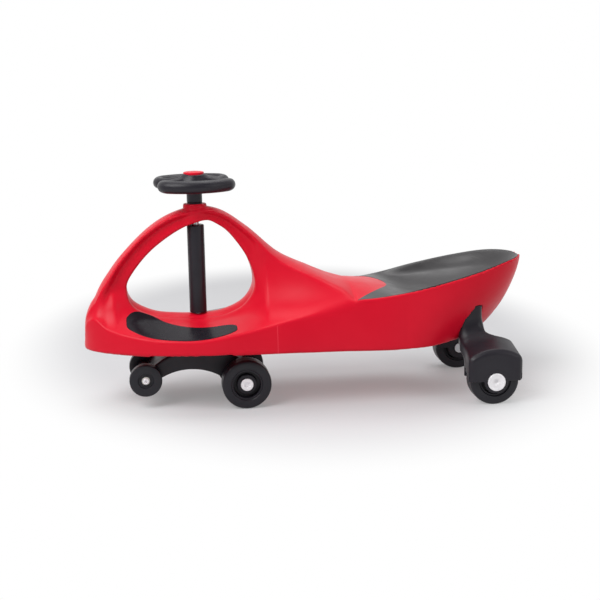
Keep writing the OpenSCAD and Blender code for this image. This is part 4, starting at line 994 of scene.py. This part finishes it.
def seen(tree):
    """One for rays that show the background: to the camera, in gloss and through clear things."""
    path = tree.nodes.new("ShaderNodeLightPath")
    out = path.outputs["Is Camera Ray"]
    for name in ("Is Glossy Ray", "Is Transmission Ray"):
        either = tree.nodes.new("ShaderNodeMath")
        either.operation = "MAXIMUM"
        tree.links.new(out, either.inputs[0])
        tree.links.new(path.outputs[name], either.inputs[1])
        out = either.outputs["Value"]
    return out


FLOOR_HALF = 8.0
OVAL_MID, OVAL_HALF, OVAL_PLAIN = (0.05, 0.45), (0.64, 0.92), 0.66
FLOOR_GREY, FLOOR_LIFT, FLOOR_ROUGH, FLOOR_GLOSS = (0.60, 0.60, 0.62, 1), 0.22, 0.8, 0.1
AMBIENT, ROOM_FRONT, ROOM_FROM, ROOM_TO = 0.28, 0.15, -0.4, 0.3
LAMP_TARGET = (0, 0, 0.15)


def add_floor():
    """A grey floor round the car that fades to white at an oval."""
    mesh = bpy.data.meshes.new("floor")
    square = ((-1, -1), (1, -1), (1, 1), (-1, 1))
    mesh.from_pydata([(x * FLOOR_HALF, y * FLOOR_HALF, 0) for x, y in square], [], [(0, 1, 2, 3)])
    mat = bpy.data.materials.new("floor")
    mat.use_nodes = True
    tree = mat.node_tree
    shader = tree.nodes["Principled BSDF"]
    shader.inputs["Base Color"].default_value = FLOOR_GREY
    shader.inputs["Roughness"].default_value = FLOOR_ROUGH
    shader.inputs["Specular IOR Level"].default_value = FLOOR_GLOSS
    place = tree.nodes.new("ShaderNodeTexCoord")
    oval = tree.nodes.new("ShaderNodeMapping")
    oval.inputs["Scale"].default_value = (1 / OVAL_HALF[0], 1 / OVAL_HALF[1], 0)
    oval.inputs["Location"].default_value = (-OVAL_MID[0] / OVAL_HALF[0],
                                             -OVAL_MID[1] / OVAL_HALF[1], 0)
    tree.links.new(place.outputs["Object"], oval.inputs["Vector"])
    length = tree.nodes.new("ShaderNodeVectorMath")
    length.operation = "LENGTH"
    tree.links.new(oval.outputs["Vector"], length.inputs[0])
    fade = tree.nodes.new("ShaderNodeMapRange")
    fade.interpolation_type = "SMOOTHSTEP"
    fade.inputs["From Min"].default_value = OVAL_PLAIN
    fade.inputs["From Max"].default_value = 1.0
    fade.inputs["To Min"].default_value = FLOOR_LIFT
    tree.links.new(length.outputs["Value"], fade.inputs["Value"])
    share = tree.nodes.new("ShaderNodeMath")
    share.operation = "MULTIPLY"
    tree.links.new(fade.outputs["Result"], share.inputs[0])
    tree.links.new(seen(tree), share.inputs[1])
    glow = tree.nodes.new("ShaderNodeEmission")
    glow.inputs["Color"].default_value = (1, 1, 1, 1)
    blend = tree.nodes.new("ShaderNodeMixShader")
    tree.links.new(share.outputs["Value"], blend.inputs["Fac"])
    tree.links.new(shader.outputs["BSDF"], blend.inputs[1])
    tree.links.new(glow.outputs["Emission"], blend.inputs[2])
    tree.links.new(blend.outputs["Shader"], tree.nodes["Material Output"].inputs["Surface"])
    mesh.materials.append(mat)
    floor = bpy.data.objects.new("floor", mesh)
    bpy.context.scene.collection.objects.link(floor)


def set_world():
    """White to the camera; in gloss, a white backdrop with a dimmer room in front of it."""
    world = bpy.data.worlds.new("studio")
    bpy.context.scene.world = world
    world.use_nodes = True
    tree = world.node_tree
    back = tree.nodes["Background"]
    back.inputs["Color"].default_value = (1, 1, 1, 1)

    def step(value, low, high, first=0.0, last=1.0):
        node = tree.nodes.new("ShaderNodeMapRange")
        tree.links.new(value, node.inputs["Value"])
        node.inputs["From Min"].default_value = first
        node.inputs["From Max"].default_value = last
        for socket, level in (("To Min", low), ("To Max", high)):
            if isinstance(level, float):
                node.inputs[socket].default_value = level
            else:
                tree.links.new(level, node.inputs[socket])
        return node.outputs["Result"]

    place = tree.nodes.new("ShaderNodeTexCoord")
    split = tree.nodes.new("ShaderNodeSeparateXYZ")
    tree.links.new(place.outputs["Generated"], split.inputs["Vector"])
    room = step(split.outputs["Y"], ROOM_FRONT, 1.0, ROOM_FROM, ROOM_TO)
    path = tree.nodes.new("ShaderNodeLightPath")
    level = step(seen(tree), AMBIENT, room)
    level = step(path.outputs["Is Camera Ray"], level, 1.0)
    tree.links.new(level, back.inputs["Strength"])


bpy.context.scene.view_settings.view_transform = "Standard"
add_camera()
add_lamp("key", (-1.7, -1.3, 2.2), 1.9, 66)
add_lamp("fill", (2.0, -1.8, 1.4), 2.0, 16)
add_lamp("top", (0.2, 0.6, 2.6), 2.0, 27)
add_floor()
set_world()
